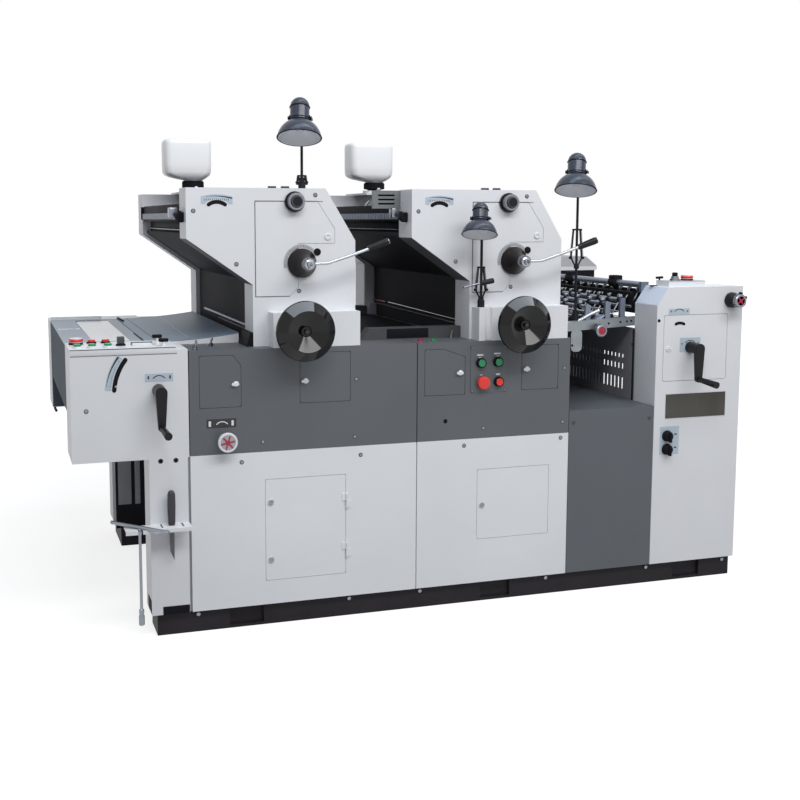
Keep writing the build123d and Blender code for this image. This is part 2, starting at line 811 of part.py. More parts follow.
# Tool shelf on the near column, with the slots that hold the tools
shelf_top = base_height + 292.0
shelf_sheet = 3.0
shelf_depth = 62.0
shelf_left = column_left - 82.0
shelf_right = column_right + 1.0
wrench_x = column_left - 38.0
wrench_y = front - 42.0
knife_x = column_left + 62.0
knife_y = front - 24.0
with BuildPart() as tool_shelf:
    with Locations(((shelf_left + shelf_right) / 2, front - shelf_depth / 2,
                    shelf_top - shelf_sheet / 2)):
        Box(shelf_right - shelf_left, shelf_depth, shelf_sheet)
    with Locations(((column_left + shelf_right) / 2, front - shelf_sheet / 2, shelf_top - 12)):
        Box(shelf_right - column_left, shelf_sheet, 24)
    with Locations(((shelf_left + shelf_right) / 2, front - shelf_depth + shelf_sheet / 2,
                    shelf_top - 6)):
        Box(shelf_right - shelf_left, shelf_sheet, 12)
    with Locations((wrench_x, wrench_y - 20, shelf_top)):
        Box(15, 64, 40, mode=Mode.SUBTRACT)
    with Locations((knife_x, knife_y, shelf_top)):
        Box(34, 6, 12, mode=Mode.SUBTRACT)
save(tool_shelf.part, "tool_shelf")

# Ink knife standing in its slot, and the T-handled wrench hanging beside it
knife_blade = 1.6
knife_handle = 110.0
wrench_turn = 37.0
bar_radius = 6.0
bar_length = 200.0
bar_z = shelf_top + bar_radius + running_gap
socket_bottom = base_height - 10.0
socket_length = 52.0
socket_radius = 9.0
wrench_radius = 4.5
with BuildPart() as hand_tools:
    with BuildSketch(Plane.XZ.offset(-knife_y - knife_blade / 2)):
        with BuildLine():
            Polyline((knife_x - 12, shelf_top + 8), (knife_x - 10, shelf_top - 88),
                     (knife_x + 8, shelf_top - 106), (knife_x + 12, shelf_top + 8), close=True)
        make_face()
    extrude(amount=knife_blade)
    with BuildSketch(Plane.XY.offset(shelf_top + running_gap)):
        with Locations((knife_x, knife_y)):
            SlotOverall(34, 16)
    extrude(amount=knife_handle)
    with BuildSketch(Plane.XY.offset(socket_bottom)):
        with Locations((wrench_x, wrench_y)):
            Circle(socket_radius)
    extrude(amount=socket_length)
    with BuildSketch(Plane.XY.offset(socket_bottom + socket_length - 4)):
        with Locations((wrench_x, wrench_y)):
            Circle(wrench_radius)
    extrude(amount=bar_z - socket_bottom - socket_length + 4)
    bar_way = Vector(cos(radians(wrench_turn)), -sin(radians(wrench_turn)), 0)
    bar_start = Vector(wrench_x, wrench_y, bar_z) - bar_way * (bar_length / 2)
    with BuildSketch(Plane(origin=bar_start, z_dir=bar_way)):
        Circle(bar_radius)
    extrude(amount=bar_length)
save(hand_tools.part, "hand_tools")


# Folding-grip crank on a short shaft, hanging straight down
def crank():
    with BuildPart() as handle:
        with BuildSketch(Plane.YZ):
            with BuildLine():
                Polyline(
                    (stub_length - 3, 0),
                    (stub_length - 3, crank_shaft_radius),
                    (-running_gap, crank_shaft_radius),
                    (-running_gap, 20),
                    (-crank_reach + 10, 18),
                    (-crank_reach - 8, 17),
                    (-crank_reach - 8, 0),
                    close=True,
                )
            make_face()
        revolve(axis=Axis.Y)
        with BuildSketch(Plane.XZ.offset(crank_reach - 8)):
            Circle(18)
            with Locations((0, -crank_arm)):
                Circle(11)
            make_hull()
        extrude(amount=15)
        grip_plane = Plane(origin=(0, -crank_reach - 6, -crank_arm), z_dir=(0.05, -1, -0.08))
        with BuildSketch(grip_plane):
            Circle(9)
        with BuildSketch(grip_plane.offset(crank_grip)):
            Circle(12)
        loft()
    return handle.part


save(crank().moved(Location((delivery_crank_x, front, delivery_crank_z))), "delivery_crank")
save(crank().moved(Location((feeder_crank_x, front, feeder_crank_z))), "feeder_crank")

# Low grey box between unit 2 and the feeder tower
with BuildPart() as low_cover_box:
    with Locations(((body_right + tower_left) / 2, 0, (base_height + low_box_top) / 2)):
        Box(tower_left - body_right - panel_gap, 2 * half_depth - 4, low_box_top - base_height)
save(low_cover_box.part, "low_cover_box")

# Feeder towers with a chamfer towards the units
tower_panel_width = 262.0
tower_panel_height = 236.0
tower_panel_place = (feeder_crank_x + 22.0, feeder_crank_z - 2.0)
panel_slack = 2.0
with BuildPart() as feeder_towers:
    for start in (half_depth, -tower_inner):
        with BuildSketch(Plane.XZ.offset(start)):
            with BuildLine():
                Polyline(
                    (tower_left, base_height),
                    (tower_right, base_height),
                    (tower_right, tower_top),
                    (tower_left + tower_chamfer_width, tower_top),
                    (tower_left, tower_top - tower_chamfer_height),
                    close=True,
                )
            make_face()
        extrude(amount=-tower_depth)
    with BuildSketch(Plane.XZ.offset(half_depth)):
        with Locations((feeder_crank_x, feeder_crank_z)):
            Circle(crank_shaft_radius + turning_fit)
    extrude(amount=-stub_length, mode=Mode.SUBTRACT)
    with BuildSketch(Plane.XZ.offset(half_depth)):
        with Locations(tower_panel_place):
            RectangleRounded(tower_panel_width, tower_panel_height, door_corner)
    extrude(amount=-(door_sheet + running_gap), mode=Mode.SUBTRACT)
save(feeder_towers.part, "feeder_towers")

# Screwed panel of the near tower, round the crank shaft
with BuildPart() as tower_panel:
    with BuildSketch(Plane.XZ.offset(half_depth)):
        with Locations(tower_panel_place):
            RectangleRounded(tower_panel_width - 2 * panel_slack,
                             tower_panel_height - 2 * panel_slack, door_corner)
        with Locations((feeder_crank_x, feeder_crank_z)):
            Circle(24, mode=Mode.SUBTRACT)
    extrude(amount=-door_sheet)
save(tower_panel.part, "tower_panel")

# Switch box with the emergency stop on top of the near tower
switch_box_height = 18.0
switch_box_place = (tower_left + 144.0, front + 80.0)
with BuildPart() as top_switch_box:
    with Locations((*switch_box_place, tower_top + switch_box_height / 2)):
        Box(150, 80, switch_box_height)
    with BuildSketch(Plane.XY.offset(tower_top + switch_box_height)):
        with Locations((switch_box_place[0] + 25, switch_box_place[1])):
            Circle(mushroom_radius)
    extrude(amount=mushroom_height)
    with BuildSketch(Plane.XY.offset(tower_top + switch_box_height)):
        with Locations((switch_box_place[0] - 25, switch_box_place[1])):
            Circle(12)
    extrude(amount=16)
save(top_switch_box.part, "top_switch_box")

# Collar and turning knob at the outer end of the near tower
with BuildPart() as collar_knob:
    with BuildSketch(Plane.YZ):
        with BuildLine():
            Polyline((0, 0), (0, 24), (-24, 28), (-30, 20), (-52, 20), (-52, 24), (-72, 24),
                     (-72, 0), close=True)
        make_face()
    revolve(axis=Axis.Y)
collar_place = (tower_right - 50.0, front, tower_top - 49.0)
save(collar_knob.part.moved(Location(collar_place)), "collar_knob")

# Cover over the far feeder drive, with a hipped top
drive_cover_length = 319.0
drive_cover_depth = 310.0
drive_cover_inset = 10.0
drive_cover_lift = 16.0
drive_cover_wall = 17.0
drive_cover_roof = 41.0
drive_cover_plan = (tower_left + drive_cover_length / 2,
                    half_depth - drive_cover_inset - drive_cover_depth / 2)
with BuildPart() as far_drive_cover:
    with BuildSketch(Plane.XY.offset(tower_top)):
        with Locations((drive_cover_plan[0], (tower_inner + half_depth - drive_cover_inset) / 2)):
            Rectangle(drive_cover_length, tower_depth - drive_cover_inset)
    extrude(amount=drive_cover_lift)
    with BuildSketch(Plane.XY.offset(tower_top + drive_cover_lift)):
        with Locations(drive_cover_plan):
            Rectangle(drive_cover_length, drive_cover_depth)
    extrude(amount=drive_cover_wall)
    with BuildSketch(Plane.XY.offset(tower_top + drive_cover_lift + drive_cover_wall)):
        with Locations(drive_cover_plan):
            Rectangle(drive_cover_length, drive_cover_depth)
    extrude(amount=drive_cover_roof, taper=40)
save(far_drive_cover.part, "far_drive_cover")

# Black slotted guard between the towers
guard_x = tower_left - 2 * guard_sheet
slot_width = 10.0
slot_pitch = 26.0
slot_count = 2 * int((tower_inner - 40) / slot_pitch) + 1
slot_rows = ((54, 42), (117, 20), (155, 14))
with BuildPart() as slotted_guard:
    with Locations((guard_x, 0, (low_box_top + guard_top) / 2)):
        Box(guard_sheet, 2 * tower_inner, guard_top - low_box_top)
    for rise, height in slot_rows:
        with Locations((guard_x, 0, low_box_top + rise)):
            with GridLocations(1, slot_pitch, 1, slot_count):
                Box(4 * guard_sheet, slot_width, height, mode=Mode.SUBTRACT)
save(slotted_guard.part, "slotted_guard")

# Pile board of the feeder, lowered onto the base
board_thickness = 28.0
board_clearance = 12.0
with BuildPart() as pile_board:
    with Locations(((tower_left + tower_right) / 2 + 10, 0, base_height + board_thickness / 2)):
        Box(tower_right - tower_left - 40, 2 * (tower_inner - board_clearance), board_thickness)
save(pile_board.part, "pile_board")

# Register board between the feeder and unit 2, with its side rails and the seat of the third lamp
board_left = unit_start(1) + casing_right
board_right = tower_left + 54.0
board_left_z = deck_height + 2.0
board_right_z = board_left_z + 22.0
board_sheet = 6.0
board_lift = 10.0
rail_height = 34.0
rail_sheet = 8.0
rail_taper = 4.0
rail_end_z = board_right_z + 30.0
board_half = tower_inner - rail_sheet
clamp_radius = 12.0
lamp_pad_x = board_left + 105.0
lamp_pad_z = board_right_z + 20.0
lamp_pad_height = 30.0
with BuildPart() as feed_board:
    with BuildSketch(Plane.XZ.offset(board_half)):
        with BuildLine():
            Polyline((board_left, board_left_z + board_lift),
                     (board_right, board_right_z + board_lift),
                     (board_right, board_right_z + board_lift + board_sheet),
                     (board_left, board_left_z + board_lift + board_sheet), close=True)
        make_face()
    extrude(amount=-2 * board_half)
    for side in (-1, 1):
        with BuildSketch(Plane.XZ.offset(tower_inner if side < 0 else -board_half)):
            with BuildLine():
                Polyline((board_left, board_left_z), (tower_left, board_right_z - rail_taper),
                         (tower_left, rail_end_z),
                         (board_left, board_left_z + rail_height), close=True)
            make_face()
        extrude(amount=-rail_sheet)
    with Locations((lamp_pad_x, -board_half - rail_sheet / 2, lamp_pad_z)):
        Box(2 * clamp_radius, rail_sheet, lamp_pad_height,
            align=(Align.CENTER, Align.CENTER, Align.MAX))
save(feed_board.part, "feed_board")

# Feed shaft between the towers, and the guide rods with their blocks between the rails
guide_rods = (
    (tower_left - 46, board_right_z + 88, 8), (tower_left - 106, board_right_z + 76, 7),
    (tower_left - 186, board_right_z + 66, 7),
)
rod_block = 12.0
rod_block_seat = 8.0
rail_slope = (rail_end_z - board_left_z - rail_height) / (tower_left - board_left)
feed_shaft_x = tower_left + 38.0
feed_shaft_z = tower_top + 1.0
bearing_block = 16.0
with BuildPart() as feed_rods:
    with BuildSketch(Plane.XZ.offset(tower_inner)):
        with Locations((feed_shaft_x, feed_shaft_z)):
            Circle(11)
    extrude(amount=-2 * tower_inner)
    for side in (-1, 1):
        with Locations((feed_shaft_x, side * (tower_inner - bearing_block / 2), feed_shaft_z - 8)):
            Box(30, bearing_block, 38)
    for x, z, radius in guide_rods:
        with BuildSketch(Plane.XZ.offset(board_half)):
            with Locations((x, z)):
                Circle(radius)
        extrude(amount=-2 * board_half)
        block_foot = board_left_z + rail_height + rail_slope * (x - board_left) - rod_block_seat
        with Locations(*[(x, side * (board_half - rod_block / 2), block_foot) for side in (-1, 1)]):
            Box(20, rod_block, z + radius - block_foot,
                align=(Align.CENTER, Align.CENTER, Align.MIN))
save(feed_rods.part, "feed_rods")

# Lamps: foot of the pole, height of the rim, rim radius, and the way the head faces
lamps = [
    (1, unit_lefts[0] + 400, -casing_inner - 15, casing_top, casing_top + 157, 71.0, -19.0),
    (2, unit_lefts[1] + 237, front + 34, gear_box_top, gear_box_top + 242, 58.0, -29.0),
    (3, lamp_pad_x, -board_half - rail_sheet / 2, lamp_pad_z, lamp_pad_z + 455, 71.0, -33.0),
]
rim_radius_full = 71.0
shade_sheet = 3.0
head_tilt = 18.0
pole_radius = 4.5
clamp_height = 24.0
pin_depth = 16.0
pole_offset = 88.0
yoke_gap = 4.0
yoke_sheet = 3.0
yoke_height = 8.0
pin_radius = 4.0
pin_engagement = 5.0
with BuildPart() as lamp_clamps:
    for number, foot_x, foot_y, foot_z, rim_z, rim_radius, facing in lamps:
        with BuildSketch(Plane.XY.offset(foot_z)):
            with Locations((foot_x, foot_y)):
                Circle(clamp_radius)
        extrude(amount=clamp_height)
        with BuildSketch(Plane.XY.offset(foot_z + clamp_height)):
            with Locations((foot_x, foot_y)):
                Circle(pole_radius + turning_fit)
        extrude(amount=-pin_depth, mode=Mode.SUBTRACT)
save(lamp_clamps.part, "lamp_clamps")

for number, foot_x, foot_y, foot_z, rim_z, rim_radius, facing in lamps:
    size = rim_radius / rim_radius_full
    offset_y = -pole_offset * size
    body_radius = 31.0 * size
    shade_height = 56.0 * size
    neck_height = 68.0 * size
    head_height = 136.0 * size
    sphere_drop = (rim_radius ** 2 - body_radius ** 2 - shade_height ** 2) / (2 * shade_height)
    sphere_radius = sqrt(rim_radius ** 2 + sphere_drop ** 2)
    inner_radius = sphere_radius - shade_sheet
    rim_angle = degrees(asin(sphere_drop / sphere_radius))
    inner_angle = degrees(asin(sphere_drop / inner_radius))
    neck_angle = degrees(atan2(shade_height + sphere_drop, body_radius))
    pivot_z = rim_z + neck_height * cos(radians(head_tilt))
    place = Location((foot_x, foot_y, 0), (0, 0, facing))
    yoke_inner = body_radius + yoke_gap
    yoke_outer = yoke_inner + yoke_sheet
    bridge_y = -22.0 * size

    # Pole with a fork that holds the head at its neck
    with BuildPart() as lamp_arm:
        with BuildSketch(Plane.XY.offset(foot_z + clamp_height - pin_depth + 2)):
            Circle(pole_radius)
        extrude(amount=pivot_z - foot_z - clamp_height + pin_depth + yoke_height / 2)
        with BuildSketch(Plane.XY.offset(foot_z + clamp_height + running_gap)):
            Circle(9)
        extrude(amount=14)
        with BuildSketch(Plane.XY.offset(pivot_z - yoke_height / 2)):
            with Locations((0, bridge_y / 2)):
                Rectangle(2 * pole_radius, -bridge_y)
            with Locations((0, bridge_y)):
                Rectangle(2 * yoke_outer, 2 * yoke_sheet)
            for side in (-1, 1):
                with Locations((side * (yoke_inner + yoke_outer) / 2, (offset_y + bridge_y) / 2)):
                    SlotOverall(bridge_y - offset_y + 8, yoke_sheet, rotation=90)
        extrude(amount=yoke_height)
        for side in (-1, 1):
            with BuildSketch(Plane.YZ.offset(side * yoke_outer)):
                with Locations((offset_y, pivot_z)):
                    Circle(pin_radius)
            extrude(amount=-side * (yoke_gap + yoke_sheet + pin_engagement))
            with BuildSketch(Plane.YZ.offset(side * yoke_inner)):
                with Locations((offset_y, pivot_z)):
                    Circle(6)
            extrude(amount=side * yoke_sheet)
    save(lamp_arm.part.moved(place), f"lamp_arm_{number}")

    # Head: domed socket on a spherical shade that is open below
    with BuildPart() as lamp_head:
        with BuildSketch(Plane.XZ):
            with BuildLine():
                CenterArc((0, -sphere_drop), sphere_radius, rim_angle, neck_angle - rim_angle)
                Polyline((body_radius, shade_height), (body_radius, head_height - body_radius))
                CenterArc((0, head_height - body_radius), body_radius, 0, 90)
                Line((0, head_height), (0, inner_radius - sphere_drop))
                CenterArc((0, -sphere_drop), inner_radius, inner_angle, 90 - inner_angle)
                Line((inner_radius * cos(radians(inner_angle)), 0), (rim_radius, 0))
            make_face()
        revolve(axis=Axis.Z)
        for side in (-1, 1):
            with BuildSketch(Plane.YZ.offset(side * (body_radius + 1))):
                with Locations((0, neck_height)):
                    Circle(pin_radius + turning_fit)
            extrude(amount=-side * (pin_engagement + 3), mode=Mode.SUBTRACT)
    hang = Location((0, 0, -neck_height))
    tilted = Location((0, offset_y, pivot_z)) * Location((0, 0, 0), (-head_tilt, 0, 0)) * hang
    save(lamp_head.part.moved(place * tilted), f"lamp_head_{number}")
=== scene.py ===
"""Looks of the two-unit offset printing press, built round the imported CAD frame."""
import json
from math import atan2, cos, pi, radians, sin, sqrt

import bmesh
import bpy
from mathutils import Matrix, Vector

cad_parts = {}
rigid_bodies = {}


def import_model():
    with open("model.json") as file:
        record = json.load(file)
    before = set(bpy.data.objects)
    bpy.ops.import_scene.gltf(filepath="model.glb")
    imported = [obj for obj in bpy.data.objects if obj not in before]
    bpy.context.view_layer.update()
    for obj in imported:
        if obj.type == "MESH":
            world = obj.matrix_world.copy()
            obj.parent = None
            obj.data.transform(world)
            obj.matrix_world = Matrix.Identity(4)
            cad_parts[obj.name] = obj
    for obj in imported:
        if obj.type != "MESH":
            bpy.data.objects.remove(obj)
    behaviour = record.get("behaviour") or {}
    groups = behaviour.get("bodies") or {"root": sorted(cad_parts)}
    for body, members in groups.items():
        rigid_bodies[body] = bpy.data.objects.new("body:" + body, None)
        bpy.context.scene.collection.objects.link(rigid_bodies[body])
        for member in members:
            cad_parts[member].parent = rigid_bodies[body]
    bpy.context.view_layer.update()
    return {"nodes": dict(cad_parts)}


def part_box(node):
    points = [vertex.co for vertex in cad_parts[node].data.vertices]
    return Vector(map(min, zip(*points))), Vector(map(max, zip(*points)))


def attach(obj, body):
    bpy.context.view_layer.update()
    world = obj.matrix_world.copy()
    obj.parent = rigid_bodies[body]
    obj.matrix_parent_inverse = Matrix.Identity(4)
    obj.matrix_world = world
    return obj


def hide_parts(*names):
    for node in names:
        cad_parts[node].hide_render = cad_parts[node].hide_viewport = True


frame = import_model()
nodes = frame["nodes"]

MM = 0.001
PRESS = "press"
OUT = Vector((0, -1, 0))
UP = Vector((0, 0, 1))
RIGHT = Vector((1, 0, 0))

# Thickness of a printed label, and of the marks on it
LABEL = 0.6
MARK = 0.2


# Colours are given as they look on screen, 0 to 255
def screen(red, green, blue):
    def linear(value):
        value /= 255
        return value / 12.92 if value <= 0.04045 else ((value + 0.055) / 1.055) ** 2.4
    return (linear(red), linear(green), linear(blue), 1.0)


def shade(colour, factor):
    return tuple(min(1.0, channel * factor) for channel in colour[:3]) + (1.0,)


# Slot of the record that each finish belongs to
SLOT_OF = {}


# One procedural surface: a mottled base colour, a roughness that varies, and a fine grain
def surface(name, slot, colour, roughness=0.5, metallic=0.0, mottle=0.04, patch=4.0, grain=0.0,
            grain_scale=600.0, stretch=(1, 1, 1), specular=0.5, alpha=1.0):
    colour = screen(*colour)
    material = bpy.data.materials.new(name)
    SLOT_OF[material.name] = slot
    material.use_nodes = True
    tree = material.node_tree
    shader = tree.nodes["Principled BSDF"]
    shader.inputs["Metallic"].default_value = metallic
    shader.inputs["Specular IOR Level"].default_value = specular
    shader.inputs["Alpha"].default_value = alpha
    where = tree.nodes.new("ShaderNodeTexCoord")
    mapping = tree.nodes.new("ShaderNodeMapping")
    mapping.inputs["Scale"].default_value = stretch
    tree.links.new(where.outputs["Object"], mapping.inputs["Vector"])
    cloud = tree.nodes.new("ShaderNodeTexNoise")
    cloud.inputs["Scale"].default_value = patch
    cloud.inputs["Detail"].default_value = 5.0
    tree.links.new(mapping.outputs["Vector"], cloud.inputs["Vector"])
    ramp = tree.nodes.new("ShaderNodeValToRGB")
    ramp.color_ramp.elements[0].position = 0.3
    ramp.color_ramp.elements[0].color = shade(colour, 1 - mottle)
    ramp.color_ramp.elements[1].position = 0.7
    ramp.color_ramp.elements[1].color = shade(colour, 1 + mottle)
    tree.links.new(cloud.outputs["Fac"], ramp.inputs["Fac"])
    tree.links.new(ramp.outputs["Color"], shader.inputs["Base Color"])
    level = tree.nodes.new("ShaderNodeMapRange")
    level.inputs["To Min"].default_value = roughness * 0.88
    level.inputs["To Max"].default_value = min(1.0, roughness * 1.12)
    tree.links.new(cloud.outputs["Fac"], level.inputs["Value"])
    tree.links.new(level.outputs["Result"], shader.inputs["Roughness"])
    if grain:
        fine = tree.nodes.new("ShaderNodeTexNoise")
        fine.inputs["Scale"].default_value = grain_scale
        tree.links.new(mapping.outputs["Vector"], fine.inputs["Vector"])
        bump = tree.nodes.new("ShaderNodeBump")
        bump.inputs["Strength"].default_value = grain
        bump.inputs["Distance"].default_value = 0.0004
        tree.links.new(fine.outputs["Fac"], bump.inputs["Height"])
        tree.links.new(bump.outputs["Normal"], shader.inputs["Normal"])
    return material


WHITE = surface("press_white", "white_paint", (221, 223, 227), 0.42, mottle=0.03, patch=3.0, grain=0.10)
CABINET_WHITE = surface("cabinet_white", "white_paint", (226, 229, 233), 0.46, mottle=0.045, patch=2.2,
                        grain=0.12)
BAND_GREY = surface("band_grey", "band_grey", (88, 92, 97), 0.44, mottle=0.06, patch=3.0, grain=0.12)
COVER_GREY = surface("cover_grey", "cover_grey", (142, 152, 164), 0.45, mottle=0.05, patch=3.0,
                     grain=0.08, specular=0.3)
# Painted shade: a darker, dull copy of the cover grey, for the shaded end face of the cover and the
# shaded inside of the far delivery box
SHADED_COVER_GREY = surface("cover_grey_painted_shade", "cover_grey", (98, 108, 117), 0.6, mottle=0.05, patch=3.0,
                     specular=0.02)
# Painted light: the slotted guard is black, given a mid grey so that it looks lit in its deep shade
GRILLE_PAINTED_LIGHT = surface("grille_black_painted_light", "black_paint", (136, 136, 142), 0.6, mottle=0.06, specular=0.02)
THROAT_BLACK = surface("throat_black", "black_paint", (56, 56, 60), 0.6, mottle=0.06, patch=3.0,
                       specular=0.02)
LEVER_CHROME = surface("lever_chrome", "chrome_metal", (162, 165, 170), 0.2, metallic=1.0, mottle=0.03)
CHUTE_GREY = surface("chute_grey", "cover_grey", (122, 138, 156), 0.45, mottle=0.05, patch=3.0,
                     grain=0.08, specular=0.25)
PANEL_GREY = surface("panel_grey", "cover_grey", (112, 116, 119), 0.40, mottle=0.05, patch=3.0,
                     grain=0.10)
BOX_GREY = surface("box_grey", "band_grey", (84, 89, 95), 0.44, mottle=0.05, patch=3.0, grain=0.12)
BASE_BLACK = surface("base_black", "black_paint", (42, 39, 43), 0.55, mottle=0.22, patch=9.0, grain=0.25,
                     specular=0.15)
BLACK_PAINT = surface("black_paint", "black_paint", (42, 42, 47), 0.38, mottle=0.12, patch=5.0,
                      grain=0.10, specular=0.04)
GLOSS_BLACK = surface("gloss_black", "gloss_black", (8, 8, 10), 0.08, mottle=0.05, specular=0.3)
BLACK_PLASTIC = surface("black_plastic", "black_plastic", (20, 20, 23), 0.34, mottle=0.08, grain=0.08,
                        specular=0.22)
SHAFT_BLUE = surface("shaft_blue", "steel_bright", (122, 130, 146), 0.3, metallic=0.6, mottle=0.10,
                     patch=20.0)
CHROME = surface("chrome", "chrome_metal", (124, 128, 136), 0.14, metallic=1.0, mottle=0.03)
STEEL = surface("machined_steel", "steel_bright", (134, 138, 146), 0.30, metallic=1.0, mottle=0.06)
GALVANISED = surface("galvanised", "steel_bright", (138, 144, 148), 0.40, metallic=0.7, mottle=0.12,
                     patch=24.0)
ROLLER = surface("roller_rubber", "roller_rubber", (34, 37, 46), 0.36, mottle=0.08)
BOTTLE = surface("bottle_plastic", "bottle_plastic", (246, 247, 248), 0.30, mottle=0.02, patch=8.0)
GLASS = surface("window_clear", "window_clear", (196, 203, 212), 0.10, mottle=0.03, alpha=0.82)
LAMP_BLUE = surface("lamp_enamel", "lamp_shade", (46, 54, 70), 0.24, mottle=0.06, specular=0.4)
LAMP_WHITE = surface("lamp_inside", "white_paint", (236, 238, 242), 0.35, mottle=0.02)
LABEL_BLUE = surface("label_blue", "white_paint", (178, 192, 204), 0.40, mottle=0.03)
LABEL_WHITE = surface("label_white", "white_paint", (226, 229, 232), 0.40, mottle=0.02)
LABEL_BLACK = surface("label_black", "black_plastic", (28, 29, 32), 0.40, mottle=0.05)
INK_BLACK = surface("ink_black", "black_plastic", (30, 30, 34), 0.6, mottle=0.05, specular=0.04)
SEAM_DARK = surface("seam_dark", "black_plastic", (66, 67, 70), 0.6, mottle=0.05)
GREEN = surface("button_green", "black_plastic", (18, 138, 88), 0.26, mottle=0.05)
RED = surface("button_red", "black_plastic", (226, 52, 44), 0.26, mottle=0.05)
CRIMSON = surface("knob_crimson", "black_plastic", (168, 30, 62), 0.30, mottle=0.10)
DIAL_BROWN = surface("dial_brown", "gloss_black", (30, 25, 25), 0.30, mottle=0.25, patch=14.0,
                     specular=0.15)
SCALE_GREY = surface("scale_grey", "steel_bright", (168, 171, 175), 0.4, mottle=0.04)
PLASTIC_GREY = surface("plastic_grey", "black_plastic", (66, 68, 72), 0.5, mottle=0.10, patch=30.0,
                       grain=0.3)
DUCT_BLUE = surface("duct_blue", "steel_bright", (104, 112, 132), 0.35, metallic=0.4, mottle=0.14,
                    patch=20.0)
WARM_GREY = surface("warm_grey", "cover_grey", (146, 147, 149), 0.4, mottle=0.05)
STREAKED = surface("streaked_sheet", "bottle_plastic", (222, 224, 229), 0.3, mottle=0.10, patch=5.0,
                   stretch=(9, 0.5, 1))
# Painted light: grey strips on the black guard, made pale so that they look lit in their deep shade
GUARD_STRIP_PAINTED_LIGHT = surface("guard_strip_painted_light", "black_paint", (166, 167, 169), 0.5, mottle=0.12, patch=4.0,
                     specular=0.2)
RAIL_GREY = surface("rail_grey", "cover_grey", (78, 79, 81), 0.5, mottle=0.08, specular=0.1)
BLADE_GREY = surface("blade_grey", "steel_bright", (78, 80, 84), 0.4, metallic=0.5, mottle=0.10,
                     patch=20.0)
NAMEPLATE = surface("nameplate_brushed", "steel_bright", (72, 70, 66), 0.32, metallic=0.85, mottle=0.22,
                    patch=7.0, stretch=(1, 1, 0.12), grain=0.3, grain_scale=220.0)
# Painted light: white paint tinted blue, standing in for the blue sky light on the tower's chamfer
CHAMFER_SKY_TINT = surface("chamfer_painted_sky_light", "white_paint", (206, 217, 236), 0.36, mottle=0.03)
GUARD_DARK = surface("guard_dark", "black_paint", (96, 96, 100), 0.5, mottle=0.10, specular=0.1)
# Painted light: pale violet for a dark violet box deep in the throat, so that it looks lit there
VIOLET_PAINTED_LIGHT = surface("violet_painted_light", "black_paint", (172, 167, 182), 0.5, mottle=0.06, specular=0.1)
SHEET_BLUE = surface("sheet_blue", "steel_bright", (150, 164, 188), 0.24, metallic=0.5, mottle=0.12,
                     patch=16.0)
WOOD = surface("handle_dark", "black_plastic", (40, 40, 46), 0.5, mottle=0.15, patch=20.0)


